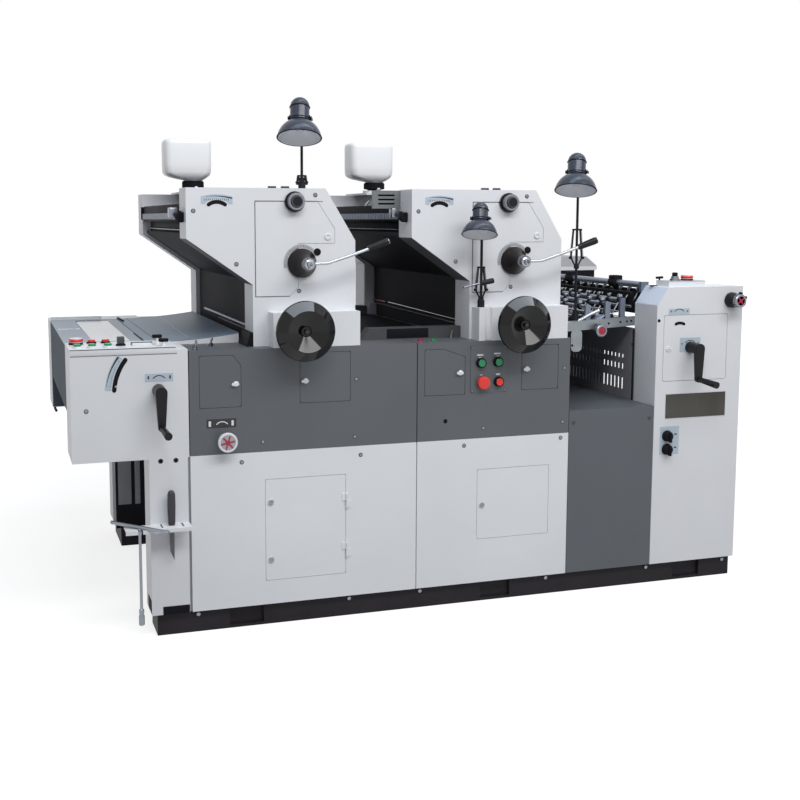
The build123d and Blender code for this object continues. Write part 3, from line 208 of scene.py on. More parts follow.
# Gathers primitives in millimetres into one mesh piece
class Shape:
    def __init__(self, name):
        self.name = name
        self.mesh = bmesh.new()

    def box(self, low, high, bevel=0.0):
        centre = (Vector(low) + Vector(high)) / 2
        size = Vector(high) - Vector(low)
        matrix = Matrix.Translation(centre) @ Matrix.Diagonal((abs(size.x), abs(size.y), abs(size.z), 1))
        made = bmesh.ops.create_cube(self.mesh, size=1, matrix=matrix)
        if bevel:
            edges = {edge for vert in made["verts"] for edge in vert.link_edges}
            bmesh.ops.bevel(self.mesh, geom=list(edges), offset=bevel, segments=2,
                            affect="EDGES", profile=0.5)
        return self

    def rod(self, start, end, radius, end_radius=None, sides=20):
        start, end = Vector(start), Vector(end)
        way = end - start
        facing = way.to_track_quat("Z", "Y").to_matrix().to_4x4()
        matrix = Matrix.Translation((start + end) / 2) @ facing
        bmesh.ops.create_cone(self.mesh, cap_ends=True, segments=sides, radius1=radius,
                              radius2=radius if end_radius is None else end_radius,
                              depth=way.length, matrix=matrix)
        return self

    # A turned form: profile holds (distance along the axis, radius) pairs
    def turned(self, origin, axis, profile, sides=32, closed=False, caps=True):
        axis = Vector(axis).normalized()
        across = axis.orthogonal().normalized()
        up = axis.cross(across)
        rings = []
        for along, radius in profile:
            base = Vector(origin) + axis * along
            if radius <= 1e-6:
                rings.append([self.mesh.verts.new(base)])
                continue
            ring = []
            for step in range(sides):
                angle = 2 * pi * step / sides
                ring.append(self.mesh.verts.new(base + (across * cos(angle) + up * sin(angle)) * radius))
            rings.append(ring)
        pairs = list(zip(rings, rings[1:]))
        if closed:
            pairs.append((rings[-1], rings[0]))
        for first, second in pairs:
            for step in range(sides):
                following = (step + 1) % sides
                corners = []
                for ring, places in ((first, (step, following)), (second, (following, step))):
                    for place in places:
                        vert = ring[place if len(ring) > 1 else 0]
                        if vert not in corners:
                            corners.append(vert)
                if len(corners) > 2:
                    self.mesh.faces.new(corners)
        for ring in (rings[0], rings[-1]):
            if caps and not closed and len(ring) > 2:
                self.mesh.faces.new(ring if ring is rings[0] else ring[::-1])
        return self

    def ring(self, centre, axis, radius, wire, sides=32, wire_sides=8):
        profile = [(wire * sin(2 * pi * step / wire_sides), radius
                    + wire * cos(2 * pi * step / wire_sides))
                   for step in range(wire_sides)]
        return self.turned(centre, axis, profile, sides, closed=True)

    # A prism: outline of (u, v) points on the plane at origin, pushed out by depth
    def prism(self, outline, origin, u_way, v_way, depth):
        origin, u_way, v_way = Vector(origin), Vector(u_way), Vector(v_way)
        out = u_way.cross(v_way).normalized() * depth
        near = [self.mesh.verts.new(origin + u_way * u + v_way * v) for u, v in outline]
        far = [self.mesh.verts.new(vert.co + out) for vert in near]
        self.mesh.faces.new(near[::-1])
        self.mesh.faces.new(far)
        count = len(outline)
        for step in range(count):
            following = (step + 1) % count
            self.mesh.faces.new((near[step], near[following], far[following], far[step]))
        return self

    # A flat piece on an upright face that looks towards the operator
    def face(self, outline, y, depth=LABEL):
        return self.prism(outline, (0, y, 0), RIGHT, UP, depth)

    # A mark on a label of that face
    def mark(self, outline, y):
        return self.face(outline, y - LABEL, MARK)

    # A straight bar that points away from a centre, on an upright face
    def radial(self, x, z, inner, outer, angle, width, y, depth):
        way = Vector((cos(radians(angle)), 0, sin(radians(angle))))
        side = Vector((-way.z, 0, way.x))
        half = width / 2
        outline = [(inner, -half), (outer, -half), (outer, half), (inner, half)]
        return self.prism(outline, (x, y, z), way, side, depth)

    # Ticks along an arc, every fifth one longer
    def ticks(self, x, z, inner, outer, start, end, count, y):
        for step in range(count):
            reach = outer if step % 5 == 0 else (inner + outer) / 2
            self.radial(x, z, inner, reach, start + (end - start) * step / (count - 1), 1.1, y, MARK)
        return self

    # A hull through rounded rectangles: x, y, z, half width, half depth, corner
    def loft(self, rings):
        loops = []
        for x, y, z, wide, deep, corner in rings:
            outline = rounded(-wide, -deep, wide, deep, corner, 6)
            loops.append([self.mesh.verts.new((x + u, y + v, z)) for u, v in outline])
        count = len(loops[0])
        for first, second in zip(loops, loops[1:]):
            for step in range(count):
                following = (step + 1) % count
                self.mesh.faces.new((first[step], first[following], second[following], second[step]))
        self.mesh.faces.new(loops[0][::-1])
        self.mesh.faces.new(loops[-1])
        return self

    def move(self, matrix):
        bmesh.ops.transform(self.mesh, matrix=matrix, verts=self.mesh.verts)
        return self

    # A round bar along a smooth line through the points
    def tube(self, points, radius, sides=10, steps=8):
        line = smooth_line(points, steps)
        rings = []
        across = None
        count = len(line)
        for place, point in enumerate(line):
            way = (line[min(place + 1, count - 1)] - line[max(place - 1, 0)]).normalized()
            if across is None:
                across = way.orthogonal().normalized()
            across = (across - way * across.dot(way)).normalized()
            up = way.cross(across)
            rings.append([self.mesh.verts.new(point + (across * cos(2 * pi * k / sides)
                                                       + up * sin(2 * pi * k / sides)) * radius)
                          for k in range(sides)])
        for first, second in zip(rings, rings[1:]):
            for k in range(sides):
                following = (k + 1) % sides
                self.mesh.faces.new((first[k], first[following], second[following], second[k]))
        self.mesh.faces.new(rings[0][::-1])
        self.mesh.faces.new(rings[-1])
        return self

    # A coil spring between two points
    def spring(self, start, end, radius, wire, turns):
        start, end = Vector(start), Vector(end)
        way = (end - start).normalized()
        across = way.orthogonal().normalized()
        up = way.cross(across)
        count = int(turns * 12)
        points = []
        for step in range(count + 1):
            angle = 2 * pi * turns * step / count
            points.append(start + (end - start) * (step / count)
                          + (across * cos(angle) + up * sin(angle)) * radius)
        return self.tube(points, wire, sides=6, steps=1)

    # Ends the piece: its mesh in metres, its finish and the body that it rides on
    def made(self, material, slot=None, body=PRESS, crease=35.0):
        slot = slot or SLOT_OF[material.name]
        bmesh.ops.recalc_face_normals(self.mesh, faces=self.mesh.faces)
        bmesh.ops.scale(self.mesh, vec=(MM, MM, MM), verts=self.mesh.verts)
        data = bpy.data.meshes.new(self.name)
        self.mesh.to_mesh(data)
        self.mesh.free()
        data.materials.append(material)
        data.polygons.foreach_set("use_smooth", [True] * len(data.polygons))
        data.set_sharp_from_angle(angle=radians(crease))
        piece = bpy.data.objects.new(self.name, data)
        bpy.context.scene.collection.objects.link(piece)
        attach(piece, body)
        return piece


# Points of a smooth line through the given ones
def smooth_line(points, steps):
    points = [Vector(point) for point in points]
    if steps < 2 or len(points) < 3:
        return points
    line = []
    for place in range(len(points) - 1):
        before = points[max(place - 1, 0)]
        start, end = points[place], points[place + 1]
        after = points[min(place + 2, len(points) - 1)]
        for step in range(steps):
            t = step / steps
            line.append(0.5 * (2 * start + (end - before) * t
                               + (2 * before - 5 * start + 4 * end - after) * t * t
                               + (3 * start - before - 3 * end + after) * t * t * t))
    line.append(points[-1])
    return line


# Lowest and highest corner of a CAD node, in millimetres
def corners(node):
    low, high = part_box(node)
    return low / MM, high / MM


# Finish of each CAD node that stays on show
NODE_FINISH = {
    BASE_BLACK: ["base_plinth"],
    CABINET_WHITE: ["lower_cabinets", "lower_door_1", "lower_door_2"],
    BAND_GREY: ["drive_casings", "band_door_1", "band_door_2", "band_covers", "control_plate"],
    WHITE: ["unit1_casings", "unit2_casings", "service_covers", "gear_boxes", "delivery_boxes",
            "delivery_columns", "control_ledge", "feeder_towers", "far_drive_cover", "bottle_seats",
            "chute_sides", "tower_panel", "top_switch_box", "tool_shelf"],
    COVER_GREY: ["delivery_cover"],
    PANEL_GREY: ["duct_bracket"],
    RAIL_GREY: ["deck_rail"],
    SHAFT_BLUE: ["feed_rods"],
    CHUTE_GREY: ["delivery_chute"],
    BOX_GREY: ["low_cover_box"],
    THROAT_BLACK: ["inner_guards"],
    GRILLE_PAINTED_LIGHT: ["slotted_guard"],
    BLACK_PAINT: ["delivery_guard", "lamp_clamps",
                  "lamp_arm_1", "lamp_arm_2", "lamp_arm_3"],
    GLOSS_BLACK: ["handwheel_1", "handwheel_2"],
    SCALE_GREY: ["selector_knob"],
    BLACK_PLASTIC: ["register_knob_1", "register_knob_2", "delivery_crank",
                    "feeder_crank", "collar_knob"],
    STEEL: ["cross_shaft_1", "cross_shaft_2", "ink_fountains"],
    LEVER_CHROME: ["impression_lever_1", "impression_lever_2"],
    GALVANISED: ["pile_board", "feed_board"],
    ROLLER: ["inker_rollers"],
    GLASS: ["delivery_window"],
    LAMP_BLUE: ["lamp_head_1", "lamp_head_2", "lamp_head_3"],
}
for finish, names in NODE_FINISH.items():
    for name in names:
        data = nodes[name].data
        data.materials.clear()
        data.materials.append(finish)


# Places that the details share, taken from the frame
unit_left = corners("unit1_casings")[0].x
unit_pitch = corners("unit2_casings")[0].x - unit_left
casing_front = corners("unit1_casings")[0].y
casing_top = corners("unit1_casings")[1].z
casing_inner = -corners("inner_guards")[0].y
front = corners("drive_casings")[0].y
deck = corners("drive_casings")[1].z
cover_top = corners("delivery_cover")[1].z
ledge_z = deck + 16
tower_top = corners("feeder_towers")[1].z
tower_left, tower_right = corners("feeder_towers")[0].x, corners("feeder_towers")[1].x
unit_lefts = (unit_left, unit_left + unit_pitch)


# Outline of a bent band: centre, inner and outer radius, first and last angle
def band_points(x, z, inner, outer, start, end, steps=14, end_inner=None):
    points = []
    for step in range(steps + 1):
        angle = radians(start + (end - start) * step / steps)
        points.append((x + outer * cos(angle), z + outer * sin(angle)))
    for step in range(steps, -1, -1):
        angle = radians(start + (end - start) * step / steps)
        size = inner if end_inner is None else inner + (end_inner - inner) * step / steps
        points.append((x + size * cos(angle), z + size * sin(angle)))
    return points


# A curved slot with round ends
def slot_points(x, z, radius, half, start, end, steps=14):
    points = []
    way = 1 if end > start else -1
    for first, last, size, turn in ((start, end, radius + half, 0), (end, start, radius - half, 180)):
        for step in range(steps + 1):
            angle = radians(first + (last - first) * step / steps)
            points.append((x + size * cos(angle), z + size * sin(angle)))
        middle_x, middle_z = x + radius * cos(radians(last)), z + radius * sin(radians(last))
        for step in range(1, 6):
            angle = radians(last + turn + way * 30 * step)
            points.append((middle_x + half * cos(angle), middle_z + half * sin(angle)))
    return points


# A rectangle with round corners
def rounded(x0, z0, x1, z1, radius, steps=3):
    points = []
    for x, z, first in ((x1 - radius, z0 + radius, -90), (x1 - radius, z1 - radius, 0),
                        (x0 + radius, z1 - radius, 90), (x0 + radius, z0 + radius, 180)):
        points += [(x + radius * cos(radians(first + 90 * k / steps)),
                    z + radius * sin(radians(first + 90 * k / steps))) for k in range(steps + 1)]
    return points


# Profile of a low round head
def dome(radius, height, edge=1.5):
    return [(-1.0, radius), (height - edge, radius), (height - edge * 0.3, radius - edge * 0.4),
            (height, radius - edge), (height, 0)]


# Countersunk socket screws: a dark seat, a steel head and its socket
def screws(name, places, radius=4.6, finish=STEEL):
    seats, heads = Shape(name + "_seats"), Shape(name + "_heads")
    for x, y, z in places:
        seats.turned((x, y, z), OUT, [(-0.5, radius + 2.6), (0.4, radius + 2.6), (0.4, 0)], 16)
        heads.turned((x, y, z), OUT, [(0, radius), (1.5, radius), (2.2, radius - 0.8),
                                      (2.2, radius * 0.5), (0.9, radius * 0.5), (0.9, 0)], 12)
    seats.made(SEAM_DARK)
    heads.made(finish, "steel_bright")


# Fixing screws on the band, boxes, casings and tower
screws("front_screws", [(x, front, z) for x, z in (
    (-400, 790), (-405, 602), (-710, 603), (-779, 542), (-385, 541), (49, 605), (-21, 549),
    (345, 610), (348, 797), (339, 555), (-1253, 728))])
screws("column_screws", [(x, front, 562) for x in (-1033, -986)], 5.4, finish=INK_BLACK)
screws("low_box_screws", [(389, front + 2, 604), (688, front + 2, 605)], finish=PLASTIC_GREY)
screws("casing_screws", [(left + x, casing_front, z) for left in unit_lefts for x, z in (
    (23, 1328), (415, 1379), (157, 1162), (360, 1074))])
screws("plate_screws", [(x, front - 2, z) for x in (5, 125) for z in (733, 879)], 2.6)

# Round dark plugs: a spare hole in the band and the push pin beside each dial
plugs = Shape("face_plugs")
for x, y, z, radius in ((-89, front, 636, 7), (714, front, 949, 5.5), (703, -503, 852, 6),
                        (unit_lefts[0] + 421, casing_front, 1198, 12),
                        (unit_lefts[1] + 421, casing_front, 1198, 12), (455, -503, 855, 5)):
    plugs.turned((x, y, z), OUT, dome(radius, 2.5), 20)
plugs.made(INK_BLACK)

# Quarter-turn latches: white thumb latches on the band, grey ones on the lower doors
for number, (x, z, body) in enumerate((
        (-795, 792, "band_door_1"), (-570, 792, PRESS), (-38, 796, "band_door_2"), (205, 799, PRESS)), 1):
    (Shape(f"band_latch_{number}")
     .turned((x, front - 3.5, z), OUT, dome(9.0, 2.4, 1.0), 20)
     .face(rounded(x - 15, z - 4.5, x + 9, z + 4.5, 4.4), front - 5.5, 4.5)
     .made(LABEL_WHITE, body=body))
for number, (x, z, body) in enumerate((
        (-686, 219, "lower_door_1"), (-686, 407, "lower_door_1"), (46, 342, "lower_door_2")), 1):
    (Shape(f"door_latch_{number}")
     .turned((x, front - 3.6, z), OUT, [(0, 8.8), (1.2, 8.8), (1.9, 8.0), (1.9, 3.2), (0.9, 2.6),
                                        (0.9, 0)], 24)
     .made(GALVANISED, body=body))
for number, left in enumerate(unit_lefts, 1):
    (Shape(f"casing_latch_{number}")
     .turned((left + 456, casing_front - 0.2, 1247), OUT,
             [(0, 11), (2.4, 11), (3.4, 9.6), (3.4, 5.2), (1.6, 4.4), (1.6, 0)], 28)
     .made(WHITE))

# Black label with its white turning arc, above the selector
Shape("selector_label").face(rounded(-889, 656, -795, 684, 1.5), front, 0.5).made(LABEL_BLACK)
marks = Shape("selector_marks")
marks.face(band_points(-840, 652, 21.5, 24.5, 40, 140), front - 0.5, 0.25)
for x in (-879, -807):
    marks.face(rounded(x - 3.5, 661, x + 4, 678, 1.0), front - 0.5, 0.25)
marks.made(LABEL_WHITE)

# Selector: pale collar, white ring and crimson finger wheel
low, high = corners("selector_knob")
selector = ((low.x + high.x) / 2, low.y, (low.z + high.z) / 2)
(Shape("selector_ring")
 .turned(selector, OUT, [(-9, 26.4), (-9, 29.5), (-7, 31), (-1.5, 31), (0.8, 29.5), (0.8, 24.5),
                         (-1.5, 23), (-1.5, 0)], 40)
 .made(LABEL_WHITE, body="selector_knob"))
wheel = Shape("selector_wheel")
wheel.turned(selector, OUT, [(-1.5, 22.6), (-0.8, 22.6), (-0.8, 18), (-1.2, 16), (-1.2, 9), (0.6, 7),
                             (0.6, 0)], 40)
for step in range(6):
    wheel.radial(selector[0], selector[2], 7, 22, 60 * step + 12, 4.6, selector[1] + 1, 2.6)
wheel.made(CRIMSON, body="selector_knob")

# Push buttons on the operator plate
plate_y = front - 2
for name, x, z, cap in (("start_1", 35, 827, GREEN), ("start_2", 97, 828, GREEN),
                        ("stop_small", 100, 761, RED)):
    (Shape(f"{name}_bezel")
     .turned((x, plate_y, z), OUT, [(-1, 17.2), (3.5, 17.2), (4.5, 16.2), (12.6, 15.6), (12.6, 12.6),
                                    (11, 12.4), (11, 0)], 32)
     .made(INK_BLACK))
    (Shape(f"{name}_cap")
     .turned((x, plate_y, z), OUT, [(11, 12.2), (13.6, 12.2), (14.2, 11.4), (14.2, 9.4), (13.4, 8.8),
                                    (13.4, 0)], 32)
     .made(cap))
(Shape("stop_mushroom")
 .turned((42, plate_y, 760), OUT, [(-1, 19), (5, 19), (5, 21.4), (14, 22.4), (18.4, 20.8), (20.2, 17),
                                   (20.8, 0)], 40)
 .made(RED))
dashes = Shape("plate_marks")
for x, z, width, height in ((33, 853, 22, 5), (33, 845, 10, 2.4), (95, 856, 24, 5), (97, 848, 11, 2.4),
                            (99, 786, 15, 5), (38, 786, 9, 2.4)):
    dashes.face(rounded(x - width / 2, z - height / 2, x + width / 2, z + height / 2, 1), plate_y, MARK)
dashes.made(LABEL_WHITE)

# Adjusting scales of the units, over their curved slots
for number, left in enumerate(unit_lefts, 1):
    name = f"unit_scale_{number}"
    x, z = left + 97, 1311
    arched = [(x + 50 - 100 * k / 10, 1373 + 7 * sin(pi * k / 10)) for k in range(11)]
    hollow = band_points(x, z, 55, 57, 130, 50)[15:][::-1]
    (Shape(f"{name}_plate")
     .face([(x - 50, 1350), (x - 36, 1350)] + hollow + [(x + 36, 1350), (x + 50, 1350)] + arched,
           casing_front)
     .made(LABEL_BLUE))
    Shape(f"{name}_slot").face(slot_points(x, z, 45, 6, 125, 55, 18), casing_front, 0.7).made(INK_BLACK)
    marks = Shape(f"{name}_marks")
    upper = [(x - 36 + 84 * k / 12, 1372 + 4.5 * sin(pi * (k + 1) / 14) - 0.25 * k) for k in range(13)]
    lower = [(x + 48 - 84 * k / 12, 1371.6 + 4.5 * sin(pi * (13 - k) / 14) - 0.6 * (12 - k))
             for k in range(13)]
    marks.mark(upper + lower, casing_front)
    for step in range(13):
        marks.mark(rounded(x - 38 + 6.2 * step - 0.5, 1360, x - 37 + 6.2 * step, 1366, 0.2, 1),
                   casing_front)
    marks.made(LABEL_BLACK)

# Adjusting scale of the delivery, beside its long curved slot
arc_x, arc_z, arc_radius = -996, 775, 173
(Shape("delivery_scale_plate")
 .face(band_points(arc_x, arc_z, arc_radius + 9, arc_radius + 28, 176, 143), front)
 .made(LABEL_BLUE))
(Shape("delivery_scale_slot")
 .face(slot_points(arc_x, arc_z, arc_radius, 6.6, 175.6, 142.6, 22), front, 0.8)
 .made(INK_BLACK))
(Shape("delivery_scale_marks")
 .mark(band_points(arc_x, arc_z, arc_radius + 24, arc_radius + 25, 173, 144, end_inner=arc_radius + 19),
       front)
 .ticks(arc_x, arc_z, arc_radius + 11, arc_radius + 16, 172, 147, 16, front - LABEL)
 .made(LABEL_BLACK))
Shape("delivery_scale_pin").turned((-1164, front - 0.8, 800), OUT, dome(3.6, 3.0, 1.0), 12).made(CHROME)

# Turning labels of the two cranks and of the tower scale
arc = 22
for name, x0, z0, x1, z1 in (("delivery_crank_label", -1076, 810, -990, 835),
                             ("tower_label", 752, 970, 837, 990)):
    Shape(name).face(rounded(x0, z0, x1, z1, 1.2), front).made(LABEL_BLUE)
    marks = Shape(name + "_marks")
    middle = (x0 + x1) / 2
    marks.mark(band_points(middle, z0 - 5, arc, arc + 3, 38, 142), front)
    for x in (x0 + 8, x1 - 12):
        marks.mark(rounded(x, z0 + 8, x + 5, z1 - 7, 0.5), front)
    marks.made(LABEL_BLACK)

# Impression levers: dark dial cone, chrome nut and ribbed black grip, over a scale on the casing
for number, left in enumerate(unit_lefts, 1):
    x, z = left + 369, casing_top - 237
    hub = (x, casing_front, z)
    body = f"impression_lever_{number}"
    (Shape(f"dial_cone_{number}")
     .turned(hub, OUT, [(0.4, 44), (0.4, 46.8), (9, 47), (12, 45.8), (34, 31), (58, 22.5), (74, 19.4)],
             48)
     .made(DIAL_BROWN, body=body))
    (Shape(f"dial_nut_{number}")
     .turned(hub, OUT, [(73, 21), (78, 21.5), (94, 19.5), (97.5, 17.5), (98, 11.5), (95, 11), (95, 8.2),
                        (109, 7.8), (112, 6), (112, 0)], 32)
     .made(CHROME, body=body))
    way = Vector((50, -4, 18)).normalized()
    tip = Vector((x + 200, casing_front - 94, z + 48))
    grip = Shape(f"lever_grip_{number}")
    grip.turned(tip, way, [(-7, 8.6), (-4, 9.4), (56, 11.6), (62, 11.2), (64.6, 9), (64.8, 0)], 24)
    side = way.cross(OUT).normalized()
    for step in range(10):
        angle = 2 * pi * step / 10
        out = side * cos(angle) + way.cross(side) * sin(angle)
        grip.rod(tip + way * 2 + out * 8.8, tip + way * 56 + out * 10.8, 1.5, sides=6)
    grip.made(BLACK_PLASTIC, body=body)
    (Shape(f"dial_scale_{number}")
     .face(band_points(x, z, 50, 60, 24, 196, 24), casing_front - 0.1, 0.7)
     .made(SCALE_GREY))
    Shape(f"dial_ticks_{number}").ticks(x, z, 51.5, 58, 34, 186, 16, casing_front - 0.8).made(LABEL_BLACK)

    # Register knob: knurled bright ring with a dark face
    centre = (left + 346, casing_front, casing_top - 42)
    body = f"register_knob_{number}"
    ring = Shape(f"register_ring_{number}")
    ring.turned(centre, OUT, [(9, 26.6), (12, 27), (29, 27), (32, 25.4), (32.6, 22), (32, 20), (30, 19.6),
                              (30, 0)], 48)
    for step in range(36):
        ring.radial(centre[0], centre[2], 26, 27.9, 10 * step, 2.2, centre[1] - 10, 19)
    ring.made(STEEL, body=body)
    (Shape(f"register_face_{number}")
     .turned(centre, OUT, [(30, 18.6), (36, 18.4), (38.4, 17), (38.4, 15.5), (37.8, 15), (37.8, 0)], 40)
     .made(PLASTIC_GREY, body=body))

# Handwheel hubs: a steel bolt and washer in the dish
for number in (1, 2):
    low, high = corners(f"handwheel_{number}")
    hub = ((low.x + high.x) / 2, low.y + 22, (low.z + high.z) / 2)
    (Shape(f"wheel_bolt_{number}")
     .turned(hub, OUT, [(0, 5.4), (1.2, 5.4), (1.2, 4.2), (6, 4.2), (6.8, 3.4), (6.8, 2), (5, 1.8),
                        (5, 0)], 6)
     .made(BLADE_GREY, body=f"wheel_{number}"))

# Fountain solution bottles: blown plastic with a slanted shoulder, black cap and valve
BOTTLE_HIGH = 158
# Height, half width, half depth, corner, and how far the ring leans from the body to the neck
BOTTLE_RINGS = ((-4, 34, 34, 33, 1), (2, 36, 35, 34, 1), (7, 54, 45, 38, 0.62), (14, 72, 54, 34, 0.24),
                (22, 84, 58, 30, 0.06), (32, 89, 60, 27, 0), (60, 90, 60, 26, 0), (140, 90, 60, 26, 0),
                (149, 88.5, 58.5, 26, 0), (155, 84, 54, 26, 0), (BOTTLE_HIGH, 76, 46, 24, 0))
bottles, caps, valves = Shape("bottle_bodies"), Shape("bottle_caps"), Shape("bottle_valves")
low, high = corners("water_bottles")
bottle_foot, bottle_y = high.z - BOTTLE_HIGH, (low.y + high.y) / 2
for left in unit_lefts:
    x, neck = left + 157, left + 181
    bottles.loft([(x + (neck - x) * lean, bottle_y, bottle_foot + rise, wide, deep, corner)
                  for rise, wide, deep, corner, lean in BOTTLE_RINGS])
    caps.turned((neck, bottle_y, bottle_foot), UP, [(-27, 38), (-26, 41.5), (-4, 41.5), (-1, 39.5),
                                                    (0, 36)], 36)
    for step in range(24):
        turn = 2 * pi * step / 24
        foot = Vector((neck + 41.2 * cos(turn), bottle_y + 41.2 * sin(turn), bottle_foot))
        caps.rod(foot - UP * 25, foot - UP * 5, 1.2, sides=6)
    caps.turned((neck, bottle_y, bottle_foot - 27), -UP, [(-1, 36), (1, 30), (8, 19), (12, 16), (15, 16)],
                28)
    valves.turned((neck + 6, bottle_y - 12, bottle_foot - 30), OUT,
                  [(0, 5), (16, 5), (18, 9), (24, 11), (31, 8), (34, 0)], 20)
    valves.tube([(neck + 4, bottle_y - 22, bottle_foot - 34), (neck - 8, bottle_y - 26, bottle_foot - 48),
                 (neck - 40, bottle_y - 26, bottle_foot - 86),
                 (neck - 62, bottle_y - 26, bottle_foot - 116)], 4)
bottles.made(BOTTLE, crease=60)
caps.made(INK_BLACK)
valves.made(STEEL)
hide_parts("water_bottles")

# Ink ducts: ribbed lip, row of ink keys on a dark bar, adjusting knob and cheek plates
KEY_COUNT, KEY_PITCH = 46, 19.5
# Inking rollers: place from the unit's left edge, height and radius
INKERS = ((205, 1318, 30), (262, 1330, 27), (318, 1318, 30), (232, 1270, 26), (290, 1266, 24))
# Throat rods of each unit: radius, far end and finish of the upper one, far end of the lower, rise
THROAT_RODS = ((6, 328, DUCT_BLUE, 60, 0), (2.6, 267, LEVER_CHROME, 440, 12))
for number, left in enumerate(unit_lefts, 1):
    lip, keys = Shape(f"duct_lip_{number}"), Shape(f"ink_keys_{number}")
    bar = Shape(f"key_bar_{number}")
    for step in range(KEY_COUNT):
        y = -casing_inner + 14 + KEY_PITCH * step
        lip.box((left - 3, y - 6.5, casing_top - 98), (left + 5, y + 6.5, casing_top - 77))
        keys.turned((left + 30, y, 1267), -RIGHT, [(-6, 3), (0, 4.4), (4, 4.2), (6, 2.6), (6, 0)], 8)
    bar.box((left + 4, -casing_inner + 1, casing_top - 106),
            (left + 190, casing_inner - 1, casing_top - 48), 3)
    bar.box((left + 60, -casing_inner + 1, casing_top - 150),
            (left + 170, casing_inner - 1, casing_top - 104), 2)
    bar.box((left - 6, casing_inner - 8, casing_top - 100),
            (left + 20, casing_inner - 1, casing_top - 50), 2)
    bar.rod((left - 20, -485, 1322), (left + 3, -485, 1322), 7)
    bar.box((left + 32, -casing_inner + 1, 1256), (left + 60, casing_inner - 1, 1300), 2)
    lip.box((left + 40, -casing_inner + 2, 1251), (left + 44, 300, 1256))
    Shape(f"duct_block_{number}").box((left - 39, -500, 1308), (left - 12, -468, 1339), 3).made(STEEL)
    rollers = Shape(f"inker_set_{number}")
    width = 2 * casing_inner
    for x, z, radius in INKERS:
        rollers.turned((left + x, casing_inner - 2, z), OUT,
                       [(0, 10), (6, 10), (6, radius - 3), (9, radius), (width - 13, radius),
                        (width - 10, radius - 3), (width - 10, 10), (width - 4, 10)], 32)
    rollers.made(ROLLER)
    lip.made(DUCT_BLUE)
    keys.made(CHROME)
    bar.made(INK_BLACK, "black_paint")
    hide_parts("ink_fountains")
    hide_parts("inker_rollers")
    (Shape(f"duct_knob_{number}")
     .turned((left - 9, -524, 1309), OUT, [(0, 12), (3, 16.5), (20, 17), (24, 14.5), (24.5, 0)], 28)
     .made(INK_BLACK))

    # Painted shade: a dark grey sheet on the underside of the casing's raked edge, which is white paint;
    # and the tie rods in the throat
    liner = Shape(f"casing_rake_painted_shade_{number}")
    rake = Vector((209, 0, -146))
    rake_out = Vector((-146, 0, -209)).normalized()
    liner.prism([(0, 0), (1, 0), (1, 121), (0, 121)],
                Vector((left, casing_front + 1, casing_top - 158)) + rake_out * 0.2, rake, (0, 1, 0),
                -1.0)
    liner.made(GUARD_DARK)
    upper_radius, upper_end, upper_finish, lower_end, rise = THROAT_RODS[number - 1]
    for name, x, z, radius, end, finish in (
            ("throat_rod", 222, deck + 54, upper_radius, upper_end, upper_finish),
            ("throat_low_rod", 224, deck + 40, 3, lower_end, GUARD_DARK)):
        (Shape(f"{name}_{number}")
         .rod((left + x, -casing_inner + 1, z), (left + x, end, z + rise), radius, sides=12)
         .made(finish, "steel_bright"))
    (Shape(f"throat_backing_{number}")
     .box((left + 228, -casing_inner + 1, deck + 2), (left + 233, casing_inner - 1, deck + 70), 1)
     .made(THROAT_BLACK))
    marks = Shape(f"casing_top_marks_{number}")
    for x in (275, 318):
        marks.box((left + x, -527, casing_top), (left + x + 27, -517, casing_top + 8), 2)
    marks.made(LABEL_BLACK)

# Black wedge at the foot of the first unit; grey plates, box and red rod at the far leg of the second;
# the throat plate and the box are paler than their own grey and violet, painted light for the deep shade
# there
left = unit_lefts[0]
(Shape("casing_foot")
 .prism([(left + 206, deck), (left + 210, deck), (left + 210, deck + 44), (left + 200, deck + 44),
         (left + 186, deck)], (0, -casing_inner, 0), RIGHT, UP, 122)
 .made(INK_BLACK, "black_paint"))
left = unit_lefts[1]
(Shape("far_leg_cover")
 .prism([(left + 182, deck), (left + 209.5, deck), (left + 209.5, deck + 195), (left + 182, deck + 214)],
        (0, 585, 0), RIGHT, UP, 121)
 .made(WHITE))
(Shape("far_throat_plate_painted_light")
 .prism([(left + 184, deck + 50), (left + 248, deck + 50), (left + 248, deck + 168),
         (left + 184, deck + 212)], (0, 463, 0), RIGHT, UP, 4)
 .made(WHITE, "black_paint"))
Shape("far_guard_box_painted_light").box((left + 192, 430, deck + 1), (left + 252, 461, deck + 50), 3).made(VIOLET_PAINTED_LIGHT)
(Shape("far_red_rod")
 .rod((left + 221, 458, deck + 64), (left + 221, 300, deck + 66), 3.4, sides=12)
 .made(CRIMSON, "steel_bright"))

# Deck between the units: black plate, dark panel on the beam, two push buttons and a T handle
(Shape("deck_plate")
 .box((unit_lefts[0] + 549.5, -casing_inner + 0.5, deck - 1),
      (unit_lefts[1] + 208, casing_inner - 0.5, deck + 1.5), 0.5)
 .box((-248, -513, deck + 3), (-98, -511, deck + 35), 0.4)
 .made(INK_BLACK, "black_paint"))
for name, x, y, finish in (("deck_red_button", -158, -591, CRIMSON),
                           ("deck_green_button", -110, -586, GREEN)):
    (Shape(name)
     .turned((x, y, deck), UP, [(-0.5, 10), (2.5, 10), (2.5, 8), (5.5, 7.6), (6, 6.6), (6, 0)], 24)
     .made(finish))
(Shape("deck_handle")
 .turned((-24, -535, deck), UP, [(-0.5, 6), (4, 6), (5, 4), (12, 3.4)], 16)
 .rod((-24, -535, deck + 10), (-20, -536, deck + 26), 2.4, 3.6)
 .made(STEEL, "black_plastic"))
(Shape("duct_bracket_backing")
 .box((-286, -467.8, 1341), (-190, -466, 1395), 0.5)
 .made(INK_BLACK, "black_paint"))

# Lamps: white inside, bulb, neck ring and side knobs on the head
LAMP_TILT = 18
